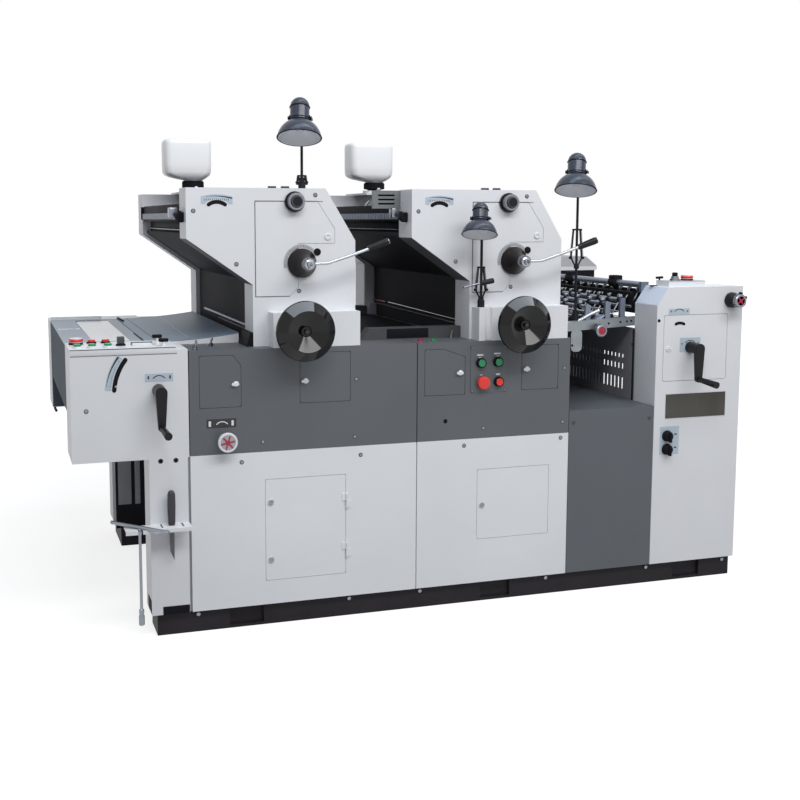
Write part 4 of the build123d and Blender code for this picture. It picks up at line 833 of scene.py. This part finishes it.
# Number, place, height and radius of the rim, and the way that it faces
LAMPS = ((1, -532, -477, 1557, 71, -19), (2, 49, -616, 1252, 58, -29), (3, 466, -502, 1399, 71, -33))
for number, x, y, rim_z, rim, facing in LAMPS:
    size = rim / 71
    body, shade_high, neck = 31 * size, 56 * size, 68 * size
    drop = (rim ** 2 - body ** 2 - shade_high ** 2) / (2 * shade_high)
    sphere = sqrt(rim ** 2 + drop ** 2)
    pivot = rim_z + neck * cos(radians(LAMP_TILT))
    head = (Matrix.Translation((x, y, 0)) @ Matrix.Rotation(radians(facing), 4, "Z")
            @ Matrix.Translation((0, -88 * size, pivot)) @ Matrix.Rotation(radians(-LAMP_TILT), 4, "X")
            @ Matrix.Translation((0, 0, -neck)))
    inside = sphere - 3.4
    first, last = atan2(drop, sqrt(inside ** 2 - drop ** 2)), atan2(inside, 6)
    turns = [first + (last - first) * k / 12 for k in range(13)]
    profile = [(inside * sin(turn) + 0.3, inside * cos(turn)) for turn in turns]
    liner = Shape(f"lamp_liner_{number}")
    liner.turned((0, 0, -drop), UP, profile, 48, caps=False)
    liner.turned((0, 0, shade_high * 0.42), UP,
                 [(-6, 4), (-4, 12 * size), (6, 17 * size), (16, 14 * size), (26, 8)], 24)
    liner.move(head).made(LAMP_WHITE, body=f"lamp_head_{number}")
    trim = Shape(f"lamp_trim_{number}")
    trim.ring((0, 0, 1.2), UP, rim + 0.2, 1.3, 48, 6)
    for rise, wire in ((shade_high + 1, 2.2), (shade_high + 8, 1.4), (136 * size - body - 2, 2.0)):
        trim.ring((0, 0, rise), UP, body + 0.4, wire, 40, 6)
    for side in (-1, 1):
        trim.turned((side * (body - 1), 0, neck), (side, 0, 0),
                    [(0, 9 * size), (3, 9 * size), (3.4, 8 * size), (3.4, 0)], 20)
    trim.move(head).made(INK_BLACK, "lamp_shade", body=f"lamp_head_{number}")

# Balancing springs on the lamp arms: crossbar height, half width there, wide point and lower joint
for number, x, y, bar_z, bar, wide_z, wide, joint_z in ((1, -532, -477, 1443, 12, 1422, 16, 1414),
                                                        (2, 48, -616, 1143, 11, 1068, 20, 1037),
                                                        (3, 466, -502, 1266, 15, 1167, 24, 1134)):
    arm = f"lamp_arm_{number}"
    sprung = number > 1
    links = Shape(f"lamp_links_{number}")
    if sprung:
        springs = Shape(f"lamp_springs_{number}")
    links.box((x - bar - 3, y - 4, bar_z - 3), (x + bar + 3, y + 4, bar_z + 3), 1)
    for side in (-1, 1):
        if sprung:
            springs.spring((x + side * bar, y, bar_z), (x + side * wide, y, wide_z), 3.2, 1.1, 14)
            links.rod((x + side * (bar - 2), y + 2, bar_z), (x + side * (wide - 3), y + 2, wide_z), 3.4,
                      sides=10)
        else:
            links.rod((x + side * bar, y, bar_z), (x + side * wide, y, wide_z - 8), 4.5, sides=10)
        links.rod((x + side * wide, y, wide_z + 4), (x + side * 3, y, joint_z), 3.2, 2.4, sides=10)
        links.turned((x + side * wide, y + 4, wide_z), OUT, [(0, 5), (9, 5), (10, 4), (10, 0)], 16)
    links.turned((x, y + 5, joint_z), OUT, [(0, 8), (11, 8), (12, 6.5), (12, 0)], 20)
    links.made(BLACK_PAINT, body=arm)
    if sprung:
        springs.made(SEAM_DARK, "steel_bright", body=arm)

# Locking lever of the second lamp
lock, lock_grip = Shape("lamp_lock_rod"), Shape("lamp_lock_grip")
lock.rod((-23, -634, 1079), (41, -630, 1091), 3.4, sides=14)
lock.made(CHROME, body="lamp_arm_2")
lock_grip.turned((38, -631, 1090), Vector((50, 3, 9)), [(0, 5), (3, 8), (46, 9.5), (50, 8.5), (51, 0)],
                 20)
lock_grip.made(BLACK_PLASTIC, body="lamp_arm_2")

# Delivery ledge: front strip, push buttons, selector, label and toggles
low, high = corners("control_ledge")
(Shape("ledge_front")
 .box((low.x + 1, front - 0.9, ledge_z - 20), (high.x - 3, front + 4, ledge_z), 1.2)
 .made(WHITE, "cover_grey"))


# A push button on the ledge: its bezel and its cap
def ledge_button(name, x, y, finish, bezel):
    place = (x, y, ledge_z)
    (Shape(f"{name}_bezel")
     .turned(place, UP, [(-0.5, 15), (4, 15), (5, 14), (5, 11), (5, 0)], 28)
     .made(bezel))
    (Shape(f"{name}_cap")
     .turned(place, UP, [(3, 11.6), (10.5, 11.6), (12, 10), (12, 0)], 28)
     .made(finish))


for number, x in enumerate((27, 71, 118), 1):
    ledge_button(f"ledge_green_{number}", low.x + x, front + 45, GREEN, LABEL_WHITE)
for number, x in enumerate((79, 122), 1):
    ledge_button(f"ledge_red_{number}", low.x + x, front + 165, RED, INK_BLACK)
for name, x, y, z in (("ledge_stop", low.x + 30, front + 145, ledge_z),
                      ("tower_stop", tower_left + 169, front + 80, tower_top + 18)):
    (Shape(name)
     .turned((x, y, z), UP, [(7, 19), (10, 21.5), (14, 22.5), (17.5, 20.5), (19, 14), (19.4, 0)], 36)
     .made(RED))
    (Shape(name + "_foot")
     .turned((x, y, z), UP, [(-0.5, 22), (4, 22), (6.5, 20.6), (6.5, 0)], 28)
     .made(INK_BLACK))
(Shape("ledge_knob_base")
 .turned((-1138, -574, ledge_z), UP, [(-0.5, 15), (4, 15), (6, 13), (6, 0)], 28)
 .made(INK_BLACK))
knob = Shape("ledge_knob")
knob.box((-1149, -585, ledge_z + 6), (-1127, -563, ledge_z + 28), 2.5)
for step in range(4):
    knob.box((-1147 + 5 * step, -586.2, ledge_z + 8), (-1144.5 + 5 * step, -561.8, ledge_z + 26))
knob.made(PLASTIC_GREY)
(Shape("ledge_label")
 .box((-1104, -592, ledge_z - 0.5), (-1044, -566, ledge_z + 6), 0.6)
 .box((-1290, 50, cover_top - 0.5), (-1214, 76, cover_top + 0.6), 0.2)
 .made(LABEL_WHITE))
marks = Shape("cover_label_marks")
for x in (-1282, -1270, -1258, -1247):
    marks.box((x, 56, cover_top + 0.5), (x + 7, 60, cover_top + 0.8))
marks.turned((-1233, 64, cover_top + 0.4), UP, [(0, 5), (0.4, 5), (0.4, 0)], 16)
marks.made(LABEL_BLACK)
seams = Shape("ledge_seams")
seams.box((low.x + 2, front - 1.3, ledge_z - 3.4), (high.x - 6, front - 0.6, ledge_z - 1))
seams.box((low.x + 2, front - 0.5, ledge_z - 22.4), (high.x - 2, front + 0.5, ledge_z - 20.8))
seams.box((-1106, -564, ledge_z), (-1040, -560, ledge_z + 8))
seams.made(SEAM_DARK)
toggles, grips = Shape("ledge_toggle_bases"), Shape("ledge_toggle_grips")
for x, y, rise in ((-1026, -575, 22), (-1012, -618, 14)):
    toggles.turned((x, y, ledge_z), UP, [(-0.5, 8), (5, 8), (6, 6), (rise, 5), (rise, 0)], 20)
    grips.box((x - 16, y - 7, ledge_z + rise - 2), (x + 14, y + 7, ledge_z + rise + 9), 3)
toggles.made(LABEL_WHITE)
grips.made(INK_BLACK)
bats = Shape("band_toggles")
for x, y in ((-907, -562), (-854, -541), (-844, -501), (-917, -625)):
    bats.turned((x, y, deck), UP, [(-0.5, 8), (3, 8), (3, 6), (7, 6), (7, 4), (8, 2)], 6)
    bats.rod((x, y, deck + 6), (x + 5, y, deck + 24), 2, 3.4, sides=12)
bats.made(CHROME)

# Delivery cover: window with a streaked sheet behind it, seams, catch and back edge
window_low, window_high = corners("delivery_window")
(Shape("window_sheet")
 .box((window_low.x + 1, window_low.y + 1, cover_top - 14),
      (window_high.x - 1, window_high.y - 1, cover_top - 6), 1)
 .made(STREAKED))
edge = Shape("window_edges")
edge.box((window_low.x, window_high.y - 12, cover_top - 0.4),
         (window_high.x, window_high.y, cover_top + 0.5))
for x in (-1045, -1007):
    edge.box((x - 1, -430, cover_top - 0.3), (x + 1, 448, cover_top + 0.45))
edge.box((-1051, -402, cover_top - 0.2), (-1046, -155, cover_top + 0.9))
edge.rod((-1040, 448, cover_top + 4), (-1034, 300, cover_top + 4), 3.2, sides=10)
edge.made(INK_BLACK)


# Height of the chute's curved sheet
def chute_z(x):
    return cover_top + 22 * ((x + 1045) / 303) ** 2


(Shape("chute_fold")
 .tube([(-901, -440, chute_z(-901) + 0.4), (-898, -150, chute_z(-898) + 0.5),
        (-880, 445, chute_z(-880) + 0.5)], 1.6, sides=8)
 .made(DUCT_BLUE, "cover_grey"))
(Shape("delivery_back_edge")
 .prism(rounded(-1296, 908, -1101, 922, 5), (0, 470, 0), RIGHT, UP, 8)
 .made(WHITE, "cover_grey"))
low, high = corners("delivery_cover")
sheet = Shape("cover_sheet")
for x0, y0, x1, y1 in ((low.x, low.y, window_low.x - 1, high.y),
                       (window_high.x + 1, low.y, high.x, high.y),
                       (window_low.x - 1, low.y, window_high.x + 1, window_low.y - 1),
                       (window_low.x - 1, window_high.y + 1, window_high.x + 1, high.y)):
    sheet.box((x0, y0, high.z - 3), (x1, y1, high.z))
sheet.made(COVER_GREY)
# Painted shade: the cover's end face is covered in a darker copy of its grey
Shape("cover_end_painted_shade").box((low.x, low.y, low.z), (low.x + 3, high.y, high.z - 3)).made(SHADED_COVER_GREY)
for piece in ("cover_sheet", "cover_end_painted_shade"):
    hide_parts("delivery_cover")
# Painted shade: a dark sheet on the white inner face of the far delivery box, which lies in shade under
# the cover
Shape("far_box_painted_shade").box((-1296, 448.4, 572), (-1120, 449.6, 904)).made(SHADED_COVER_GREY)
(Shape("delivery_hook")
 .tube([(-1290, 460, 575), (-1289, 460, 562), (-1283, 458, 549)], 5, sides=8)
 .made(SEAM_DARK, "black_paint"))
low, high = corners("delivery_guard")
# Grey strips on the black guard, paler than their own grey: painted light for the deep shade there
(Shape("guard_strips")
 .box((low.x + 10, low.y - 2, low.z + 96), (low.x + 62, low.y, high.z - 4), 1)
 .box((low.x + 76, low.y - 3, low.z + 96), (low.x + 97, low.y, high.z - 4), 1)
 .made(GUARD_STRIP_PAINTED_LIGHT))
(Shape("column_kick_plate")
 .box((-1034, front - 1, 72), (-950, front + 2, 98), 0.6)
 .box((-1068.4, -640, 72), (-1060, -560, 118), 1)
 .made(INK_BLACK, "black_paint"))
Shape("column_seam").box((-950, front + 8, 73), (-941, front + 12, 568)).made(WARM_GREY, "white_paint")

# Outlines of the service covers on the casings
low_z, high_z = corners("service_covers")[0].z, corners("service_covers")[1].z
for number, left in enumerate(unit_lefts, 1):
    seam = Shape(f"cover_seam_{number}")
    for x0, z0, x1, z1 in ((217, low_z, 219, high_z), (217, low_z - 1, 330, low_z + 1),
                           (217, high_z - 1, 440, high_z + 0.6)):
        seam.box((left + x0, casing_front - 0.7, z0), (left + x1, casing_front + 2, z1))
    seam.made(SEAM_DARK)

# Ink knife and T wrench, on the shelf with its notches
shelf = corners("tool_shelf")[1].z
blade, handle, wrench = Shape("knife_blade"), Shape("knife_handle"), Shape("t_wrench")
blade.face([(-1014, shelf + 8), (-1012, shelf - 82), (-999, shelf - 112), (-998, shelf + 8)], -673.2, 1.6)
handle.loft([(-1006, -674, shelf + rise, wide, deep, min(wide, deep) - 0.5) for rise, wide, deep in (
    (0.5, 9, 6), (6, 11, 7), (60, 12.5, 8), (96, 12, 8), (106, 9, 6.5), (110, 4, 3.5))])
top = corners("hand_tools")[0].z
spot = Vector((-1106, -692, 0))
arm = Vector((cos(radians(37)), -sin(radians(37)), 0))
bar_z = shelf + 6.3
lean = arm * 99 - UP * 7
wrench.rod(spot + UP * bar_z - lean, spot + UP * bar_z + lean, 5.6, sides=20)
for side in (-1, 1):
    wrench.rod(spot + UP * bar_z + lean * side * 0.93, spot + UP * bar_z + lean * side * 1.01, 6, 5.2)
wrench.turned(spot + UP * top, UP, [(0, 7), (2, 9), (30, 9), (34, 7), (44, 8.2), (50, 7.5), (53, 4.6),
                                    (282, 4.4), (290, 7), (302, 7), (306, 5)], 24)
blade.made(BLADE_GREY)
handle.made(WOOD, crease=60)
wrench.made(STEEL, "chrome_metal")
for piece in ("knife_blade", "knife_handle", "t_wrench"):
    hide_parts("hand_tools")
notches = Shape("shelf_notches")
for x in (-1040, -975):
    notches.box((x, -695, shelf - 0.4), (x + 5, -655, shelf + 0.4))
notches.made(SEAM_DARK, "black_paint")

# Levelling bolts of the base
bolts = Shape("levelling_bolts")
base_low = corners("base_plinth")[0]
for x in (-921, -420, -170, 300, 700, 1020):
    bolts.turned((x, base_low.y, 58), OUT, [(-1, 7), (5, 7), (6, 5.5), (6, 0)], 6)
bolts.made(STEEL)

# Feeder tower: plates, switches, nameplate, chamfer, top switch box and collar knob
Shape("tower_crank_label").face(rounded(801, 835, 885, 886, 1.2), front).made(LABEL_BLUE)
marks = Shape("tower_crank_marks")
marks.mark(band_points(843, 850, 25, 27.5, 40, 140), front)
for x in (808, 874):
    marks.mark(rounded(x, 862, x + 4, 868, 0.5), front)
marks.made(LABEL_BLACK)
Shape("tower_scale_slot").face(slot_points(799, 905, 34, 5, 119, 60), front, 0.7).made(INK_BLACK)
(Shape("tower_latch")
 .turned((755, front, 848), OUT, [(0, 10), (2, 10), (3, 8.6), (3, 4.5), (1.4, 4), (1.4, 0)], 24)
 .box((745, front - 4, 846), (766, front - 1, 850), 0.8)
 .made(WHITE))
Shape("nameplate").box((751, front - 2, 600), (997, front + 0.5, 686), 0.8).made(NAMEPLATE)
Shape("rotary_switch_plate").face(rounded(732, 470, 809, 571, 2), front, 1).made(LABEL_BLUE)
knobs, ticks = Shape("rotary_switches"), Shape("rotary_switch_marks")
for z in (537, 489):
    knobs.turned((760, front - 1, z), OUT, [(-0.5, 20), (3, 20), (5, 17.5), (18, 15.5), (19.5, 13),
                                            (19.5, 0)], 30)
    knobs.box((756, front - 30, z - 20), (764, front - 16, z + 16), 1.5)
    ticks.ticks(760, z, 22, 26, 30, 150, 6, front - 1)
    ticks.face(rounded(790, z + 2, 800, z + 7, 0.5), front - 1, MARK)
knobs.made(INK_BLACK)
ticks.made(LABEL_BLACK)
# Painted light: a blue-tinted sheet over the white chamfer of each tower, for the sky light on it
chamfer = Shape("tower_chamfer_sky_tint")
for start in (front + 1, 507):
    chamfer.prism([(0.02, 0), (0.98, 0), (0.98, 142), (0.02, 142)],
                  (tower_left - 0.3, start, tower_top - 64 + 0.3),
                  (42, 0, 64), (0, 1, 0), 0.6)
chamfer.made(CHAMFER_SKY_TINT)
(Shape("switch_box_lid")
 .box((tower_left + 69, front + 39, tower_top + 17.2), (tower_left + 219, front + 121, tower_top + 19), 1)
 .made(SCALE_GREY, "cover_grey"))
(Shape("tower_knob")
 .turned((tower_left + 119, front + 80, tower_top + 18), UP,
         [(-0.5, 18), (7, 17), (9, 14), (16.6, 12.6), (17, 0)], 24)
 .made(STEEL, "black_plastic"))
button = Shape("tower_knob_grip")
button.box((tower_left + 111, front + 72, tower_top + 33),
           (tower_left + 127, front + 88, tower_top + 48), 3)
button.rod((807, -500, tower_top), (807, -500, tower_top + 25), 3)
button.rod((793, -502, tower_top + 26), (821, -498, tower_top + 27), 4.4)
button.box((735, -560, tower_top - 0.4), (762, -545, tower_top + 3), 1)
button.made(INK_BLACK)
low, high = corners("collar_knob")
centre = ((low.x + high.x) / 2, high.y, (low.z + high.z) / 2)
collar, ring, wheel = Shape("collar_cone"), Shape("collar_ring"), Shape("collar_wheel")
collar.turned(centre, OUT, [(0, 27), (3, 28), (14, 27.5), (26, 22), (34, 17.5), (40, 15), (46, 15)], 40)
ring.turned(centre, OUT, [(42, 16), (43, 22.4), (57, 22.4), (59, 20), (59, 16), (57, 15)], 36)
for step in range(18):
    ring.radial(centre[0], centre[2], 21, 24, 20 * step, 4, centre[1] - 43, 14)
wheel.turned(centre, OUT, [(56, 16), (57, 15.6), (57, 6), (60, 5), (60, 0)], 36)
for step in range(4):
    wheel.radial(centre[0], centre[2], 5, 15.5, 90 * step + 35, 4.4, centre[1] - 56, 3.4)
lugs = Shape("collar_lugs")
for angle, reach in ((20, 34), (70, 31), (330, 30)):
    lugs.radial(centre[0], centre[2], 20, reach, angle, 9, centre[1] - 36, 12)
lugs.made(INK_BLACK)
collar.made(BLACK_PLASTIC)
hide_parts("collar_knob")
ring.made(STEEL)
wheel.made(CRIMSON)

# Painted shade in the feeder: dark plates over the white inner walls of both towers and at the far
# tower's open end, where they lie in shade; two narrow dark plates by the register table and the near
# rail
feeder_shade = Shape("feeder_painted_shade")
feeder_shade.box((tower_left + 1, 502, 102), (tower_right - 1, 505.5, tower_top - 60), 1)
feeder_shade.box((tower_right - 12, 300, 102), (tower_right - 2, 502, tower_top - 80), 1)
feeder_shade.box((tower_left + 2, -505.5, 102), (tower_right - 1, -502, tower_top - 70), 1)
feeder_shade.box((749, -501, 958), (753, 501, 1050), 1)
feeder_shade.box((698.6, -516, 647.5), (701.4, -506, 911), 0.3)
feeder_shade.made(BLACK_PAINT)

# Register table: tapes, guide bars, hold-down wheels, clips and black collars over the board
tapes, bars, clips = Shape("feed_tapes"), Shape("guide_bars"), Shape("feed_clips")
wheels, collars, plates = Shape("hold_down_wheels"), Shape("rod_collars"), Shape("guide_plates")


# Height of the sloping feed board
def board_z(x):
    return deck + 18 + (x - 361) * 22 / 399


TAPE_COUNT, TAPE_PITCH, TAPE_WIDE, TAPE_THICK = 9, 110, 34, 1.6
for step in range(TAPE_COUNT):
    y = -440 + TAPE_PITCH * step
    tapes.prism([(362, board_z(362)), (758, board_z(758)), (758, board_z(758) + TAPE_THICK),
                 (362, board_z(362) + TAPE_THICK)], (0, y, 0), RIGHT, UP, TAPE_WIDE)
    bars.rod((368, y + 42, board_z(368) + 22), (700, y + 42, board_z(700) + 26), 3.2, sides=10)
    bars.box((430, y + 30, board_z(430) + 2), (446, y + 54, board_z(430) + 26), 2)
    clips.box((604, y + 30, board_z(604) + 2), (622, y + 54, board_z(604) + 14), 2)
for x, z, count, start in ((660, 1012, 14, -470), (600, 1000, 11, -450), (520, 990, 9, -430)):
    for step in range(count):
        y = start + (-2 * start) * step / (count - 1)
        hang = (x - 34, y, board_z(x - 34) + 17)
        collars.turned((x, y, z), OUT, [(0, 11), (2, 12), (10, 12), (12, 10)], 18)
        clips.rod((x, y - 7, z), hang, 3, sides=8)
        clips.box((x - 7, y - 11, z + 6), (x + 9, y - 1, z + 20), 2)
        wheels.turned((hang[0], y + 3, hang[2]), OUT, [(0, 8), (1, 12), (8, 12), (9, 8)], 18)
for x, z, radius in ((744, 1064, 10.6), (700, 988, 5), (640, 972, 4), (560, 966, 5), (470, 960, 4),
                     (420, 968, 6)):
    bars.rod((x, -492, z), (x, 492, z), radius, sides=12)
for step in range(17):
    y = -472 + 59 * step
    clips.box((736, y, 1034), (748, y + 14, 1056), 2)
    clips.rod((742, y + 7, 1036), (724, y + 7, 1008), 2.6, sides=8)
    wheels.turned((724, y + 2, 1006), OUT, [(0, 7), (1, 9), (8, 9), (9, 7)], 14)
for y in (-300, 40, 330):
    collars.turned((744, y + 26, 1066), OUT, [(0, 13), (2, 19), (48, 19), (50, 13)], 24)
    collars.box((728, y - 20, 1068), (764, y + 24, 1092), 4)
collars.box((688, -498, 1030), (702, 498, 1042), 2)
for step in range(5):
    y = -430 + 200 * step
    outline = ((390, 4), (560, 14), (585, 30), (588, 28), (563, 11), (390, 1))
    plates.prism([(x, board_z(x) + rise) for x, rise in outline], (0, y, 0), RIGHT, UP, 70)
tapes.made(SHEET_BLUE)
bars.made(LEVER_CHROME)
clips.made(LEVER_CHROME, "steel_bright")
wheels.made(BLACK_PLASTIC)
collars.made(INK_BLACK)
plates.made(SHEET_BLUE)

# Near rail: holes, side-lay knob, hanging bracket and edge bar
holes = Shape("rail_holes")
for x, z in ((647, 934), (674, 935), (691, 937), (600, 930)):
    holes.turned((x, -506, z), OUT, [(-0.3, 4), (0.5, 4), (0.5, 0)], 16)
holes.made(INK_BLACK)
bracket = Shape("side_lay_bracket")
bracket.face(rounded(450, 832, 494, 912, 16), -500, 5)
bracket.rod((553, -500, 912), (553, -524, 910), 6)
bracket.box((540, -506, 905), (566, -500, 930), 2)
bracket.made(GALVANISED)
knob = Shape("side_lay_knob")
knob.turned((553, -520, 908), OUT, [(0, 18), (2, 21.5), (20, 21.5), (22, 19), (22, 14.5), (19, 14)], 36)
for step in range(24):
    knob.radial(553, 908, 20, 22.5, 15 * step, 3, -521, 18)
knob.made(STEEL)
(Shape("side_lay_face")
 .turned((553, -520, 908), OUT, [(15, 16), (20, 15.4), (20, 6), (21.8, 5), (21.8, 0)], 30)
 .made(CRIMSON))
(Shape("side_lay_bar")
 .tube([(365, -498, 930), (470, -500, 940), (520, -503, 962), (560, -505, 978)], 6, sides=12)
 .made(LEVER_CHROME))

# Far drive cover: grey roof over a light band, dark below
low, high = corners("far_drive_cover")
roof = Shape("drive_cover_roof")
middle = (low + high) / 2
half = (high - low) / 2
reach = 41 * 0.8391
foot_z = tower_top + 33.4
roof.loft([(middle.x, middle.y, foot_z, half.x + 0.4, half.y + 0.4, 0.5),
           (middle.x, middle.y, high.z + 0.4, half.x - reach + 0.6, half.y - reach + 0.6, 0.5)])
roof.made(WARM_GREY)
(Shape("drive_cover_shade")
 .box((low.x + 2, low.y + 4, tower_top - 46), (low.x + 8, high.y - 136, tower_top + 16), 1)
 .box((low.x + 2, low.y + 2, tower_top - 46), (high.x - 10, low.y + 8, tower_top + 16), 1)
 .made(INK_BLACK, "black_paint"))


# White studio floor: it shows white and keeps the press's shadow
def studio_white(name, albedo, glow, reach):
    material = bpy.data.materials.new(name)
    material.use_nodes = True
    tree = material.node_tree
    tree.nodes.remove(tree.nodes["Principled BSDF"])
    matt = tree.nodes.new("ShaderNodeBsdfDiffuse")
    matt.inputs["Color"].default_value = (albedo, albedo, albedo, 1.0)
    light = tree.nodes.new("ShaderNodeEmission")
    where = tree.nodes.new("ShaderNodeTexCoord")
    away = tree.nodes.new("ShaderNodeVectorMath")
    away.operation = "LENGTH"
    tree.links.new(where.outputs["Object"], away.inputs[0])
    rise = tree.nodes.new("ShaderNodeMapRange")
    rise.inputs["From Min"].default_value, rise.inputs["From Max"].default_value = reach
    rise.inputs["To Min"].default_value = glow
    tree.links.new(away.outputs["Value"], rise.inputs["Value"])
    tree.links.new(rise.outputs["Result"], light.inputs["Strength"])
    both = tree.nodes.new("ShaderNodeAddShader")
    tree.links.new(matt.outputs["BSDF"], both.inputs[0])
    tree.links.new(light.outputs["Emission"], both.inputs[1])
    choose = tree.nodes.new("ShaderNodeMixShader")
    tree.links.new(seen_rays(tree), choose.inputs["Fac"])
    tree.links.new(matt.outputs["BSDF"], choose.inputs[1])
    tree.links.new(both.outputs["Shader"], choose.inputs[2])
    tree.links.new(choose.outputs["Shader"], tree.nodes["Material Output"].inputs["Surface"])
    return material


# One for the rays that show the surroundings: camera, glossy and transmission rays
def seen_rays(tree):
    path = tree.nodes.new("ShaderNodeLightPath")
    total = path.outputs["Is Camera Ray"]
    for kind in ("Is Glossy Ray", "Is Transmission Ray"):
        larger = tree.nodes.new("ShaderNodeMath")
        larger.operation = "MAXIMUM"
        tree.links.new(total, larger.inputs[0])
        tree.links.new(path.outputs[kind], larger.inputs[1])
        total = larger.outputs["Value"]
    return total


FLOOR_HALF = 16.0
floor_mesh = bmesh.new()
bmesh.ops.create_grid(floor_mesh, x_segments=1, y_segments=1, size=FLOOR_HALF,
                      matrix=Matrix.Translation((0, 0, -0.0005)))
floor_data = bpy.data.meshes.new("studio_floor")
floor_mesh.to_mesh(floor_data)
floor_mesh.free()
floor_data.materials.append(studio_white("studio_white", 0.42, 0.78, (1.6, 5.0)))
studio_floor = bpy.data.objects.new("studio_floor", floor_data)
bpy.context.scene.collection.objects.link(studio_floor)

# Camera fitted to the photograph: 1.2 pixels over about sixty corners
camera_data = bpy.data.cameras.new("camera")
camera_data.lens = 50.905
camera_data.sensor_width = 36.0
camera_data.shift_x = 0.0625
camera_data.shift_y = -0.0625
camera = bpy.data.objects.new("camera", camera_data)
camera.location = (-1.5086, -4.0883, 1.3028)
camera.rotation_euler = (radians(90 - 6.601), 0, -radians(17.546))
bpy.context.scene.collection.objects.link(camera)
bpy.context.scene.camera = camera


# A soft lamp that faces a point of the press
def lamp(name, place, aim, size, power, colour=(1.0, 1.0, 1.0), turn=0.0):
    data = bpy.data.lights.new(name, "AREA")
    data.shape = "RECTANGLE"
    data.size, data.size_y = size
    data.energy = power
    data.color = colour
    light = bpy.data.objects.new(name, data)
    light.location = place
    facing = (Vector(aim) - Vector(place)).to_track_quat("-Z", "Y").to_matrix()
    light.rotation_euler = (facing @ Matrix.Rotation(radians(turn), 3, "Z")).to_euler()
    bpy.context.scene.collection.objects.link(light)


lamp("key", (0.35, -3.1, 3.5), (0.15, -0.5, 0.8), (4.3, 0.84), 105)
lamp("top_left", (-0.9, -1.02, 4.35), (-0.9, -1.02, 0.0), (4.8, 0.22), 29, (0.8, 0.89, 1.0), 11.5)
lamp("top_right", (0.67, -1.12, 4.35), (0.67, -1.12, 0.0), (5.2, 0.22), 29, (0.8, 0.89, 1.0), 18.5)

world = bpy.data.worlds.new("studio")
bpy.context.scene.world = world
world.use_nodes = True
tree = world.node_tree
dim = tree.nodes["Background"]
dim.inputs["Color"].default_value = (0.97, 0.98, 1.0, 1.0)
dim.inputs["Strength"].default_value = 0.34
bright = tree.nodes.new("ShaderNodeBackground")
bright.inputs["Color"].default_value = (1.0, 1.0, 1.0, 1.0)
choose = tree.nodes.new("ShaderNodeMixShader")
tree.links.new(seen_rays(tree), choose.inputs["Fac"])
tree.links.new(dim.outputs["Background"], choose.inputs[1])
tree.links.new(bright.outputs["Background"], choose.inputs[2])
tree.links.new(choose.outputs["Shader"], tree.nodes["World Output"].inputs["Surface"])

bpy.context.scene.view_settings.view_transform = "Standard"
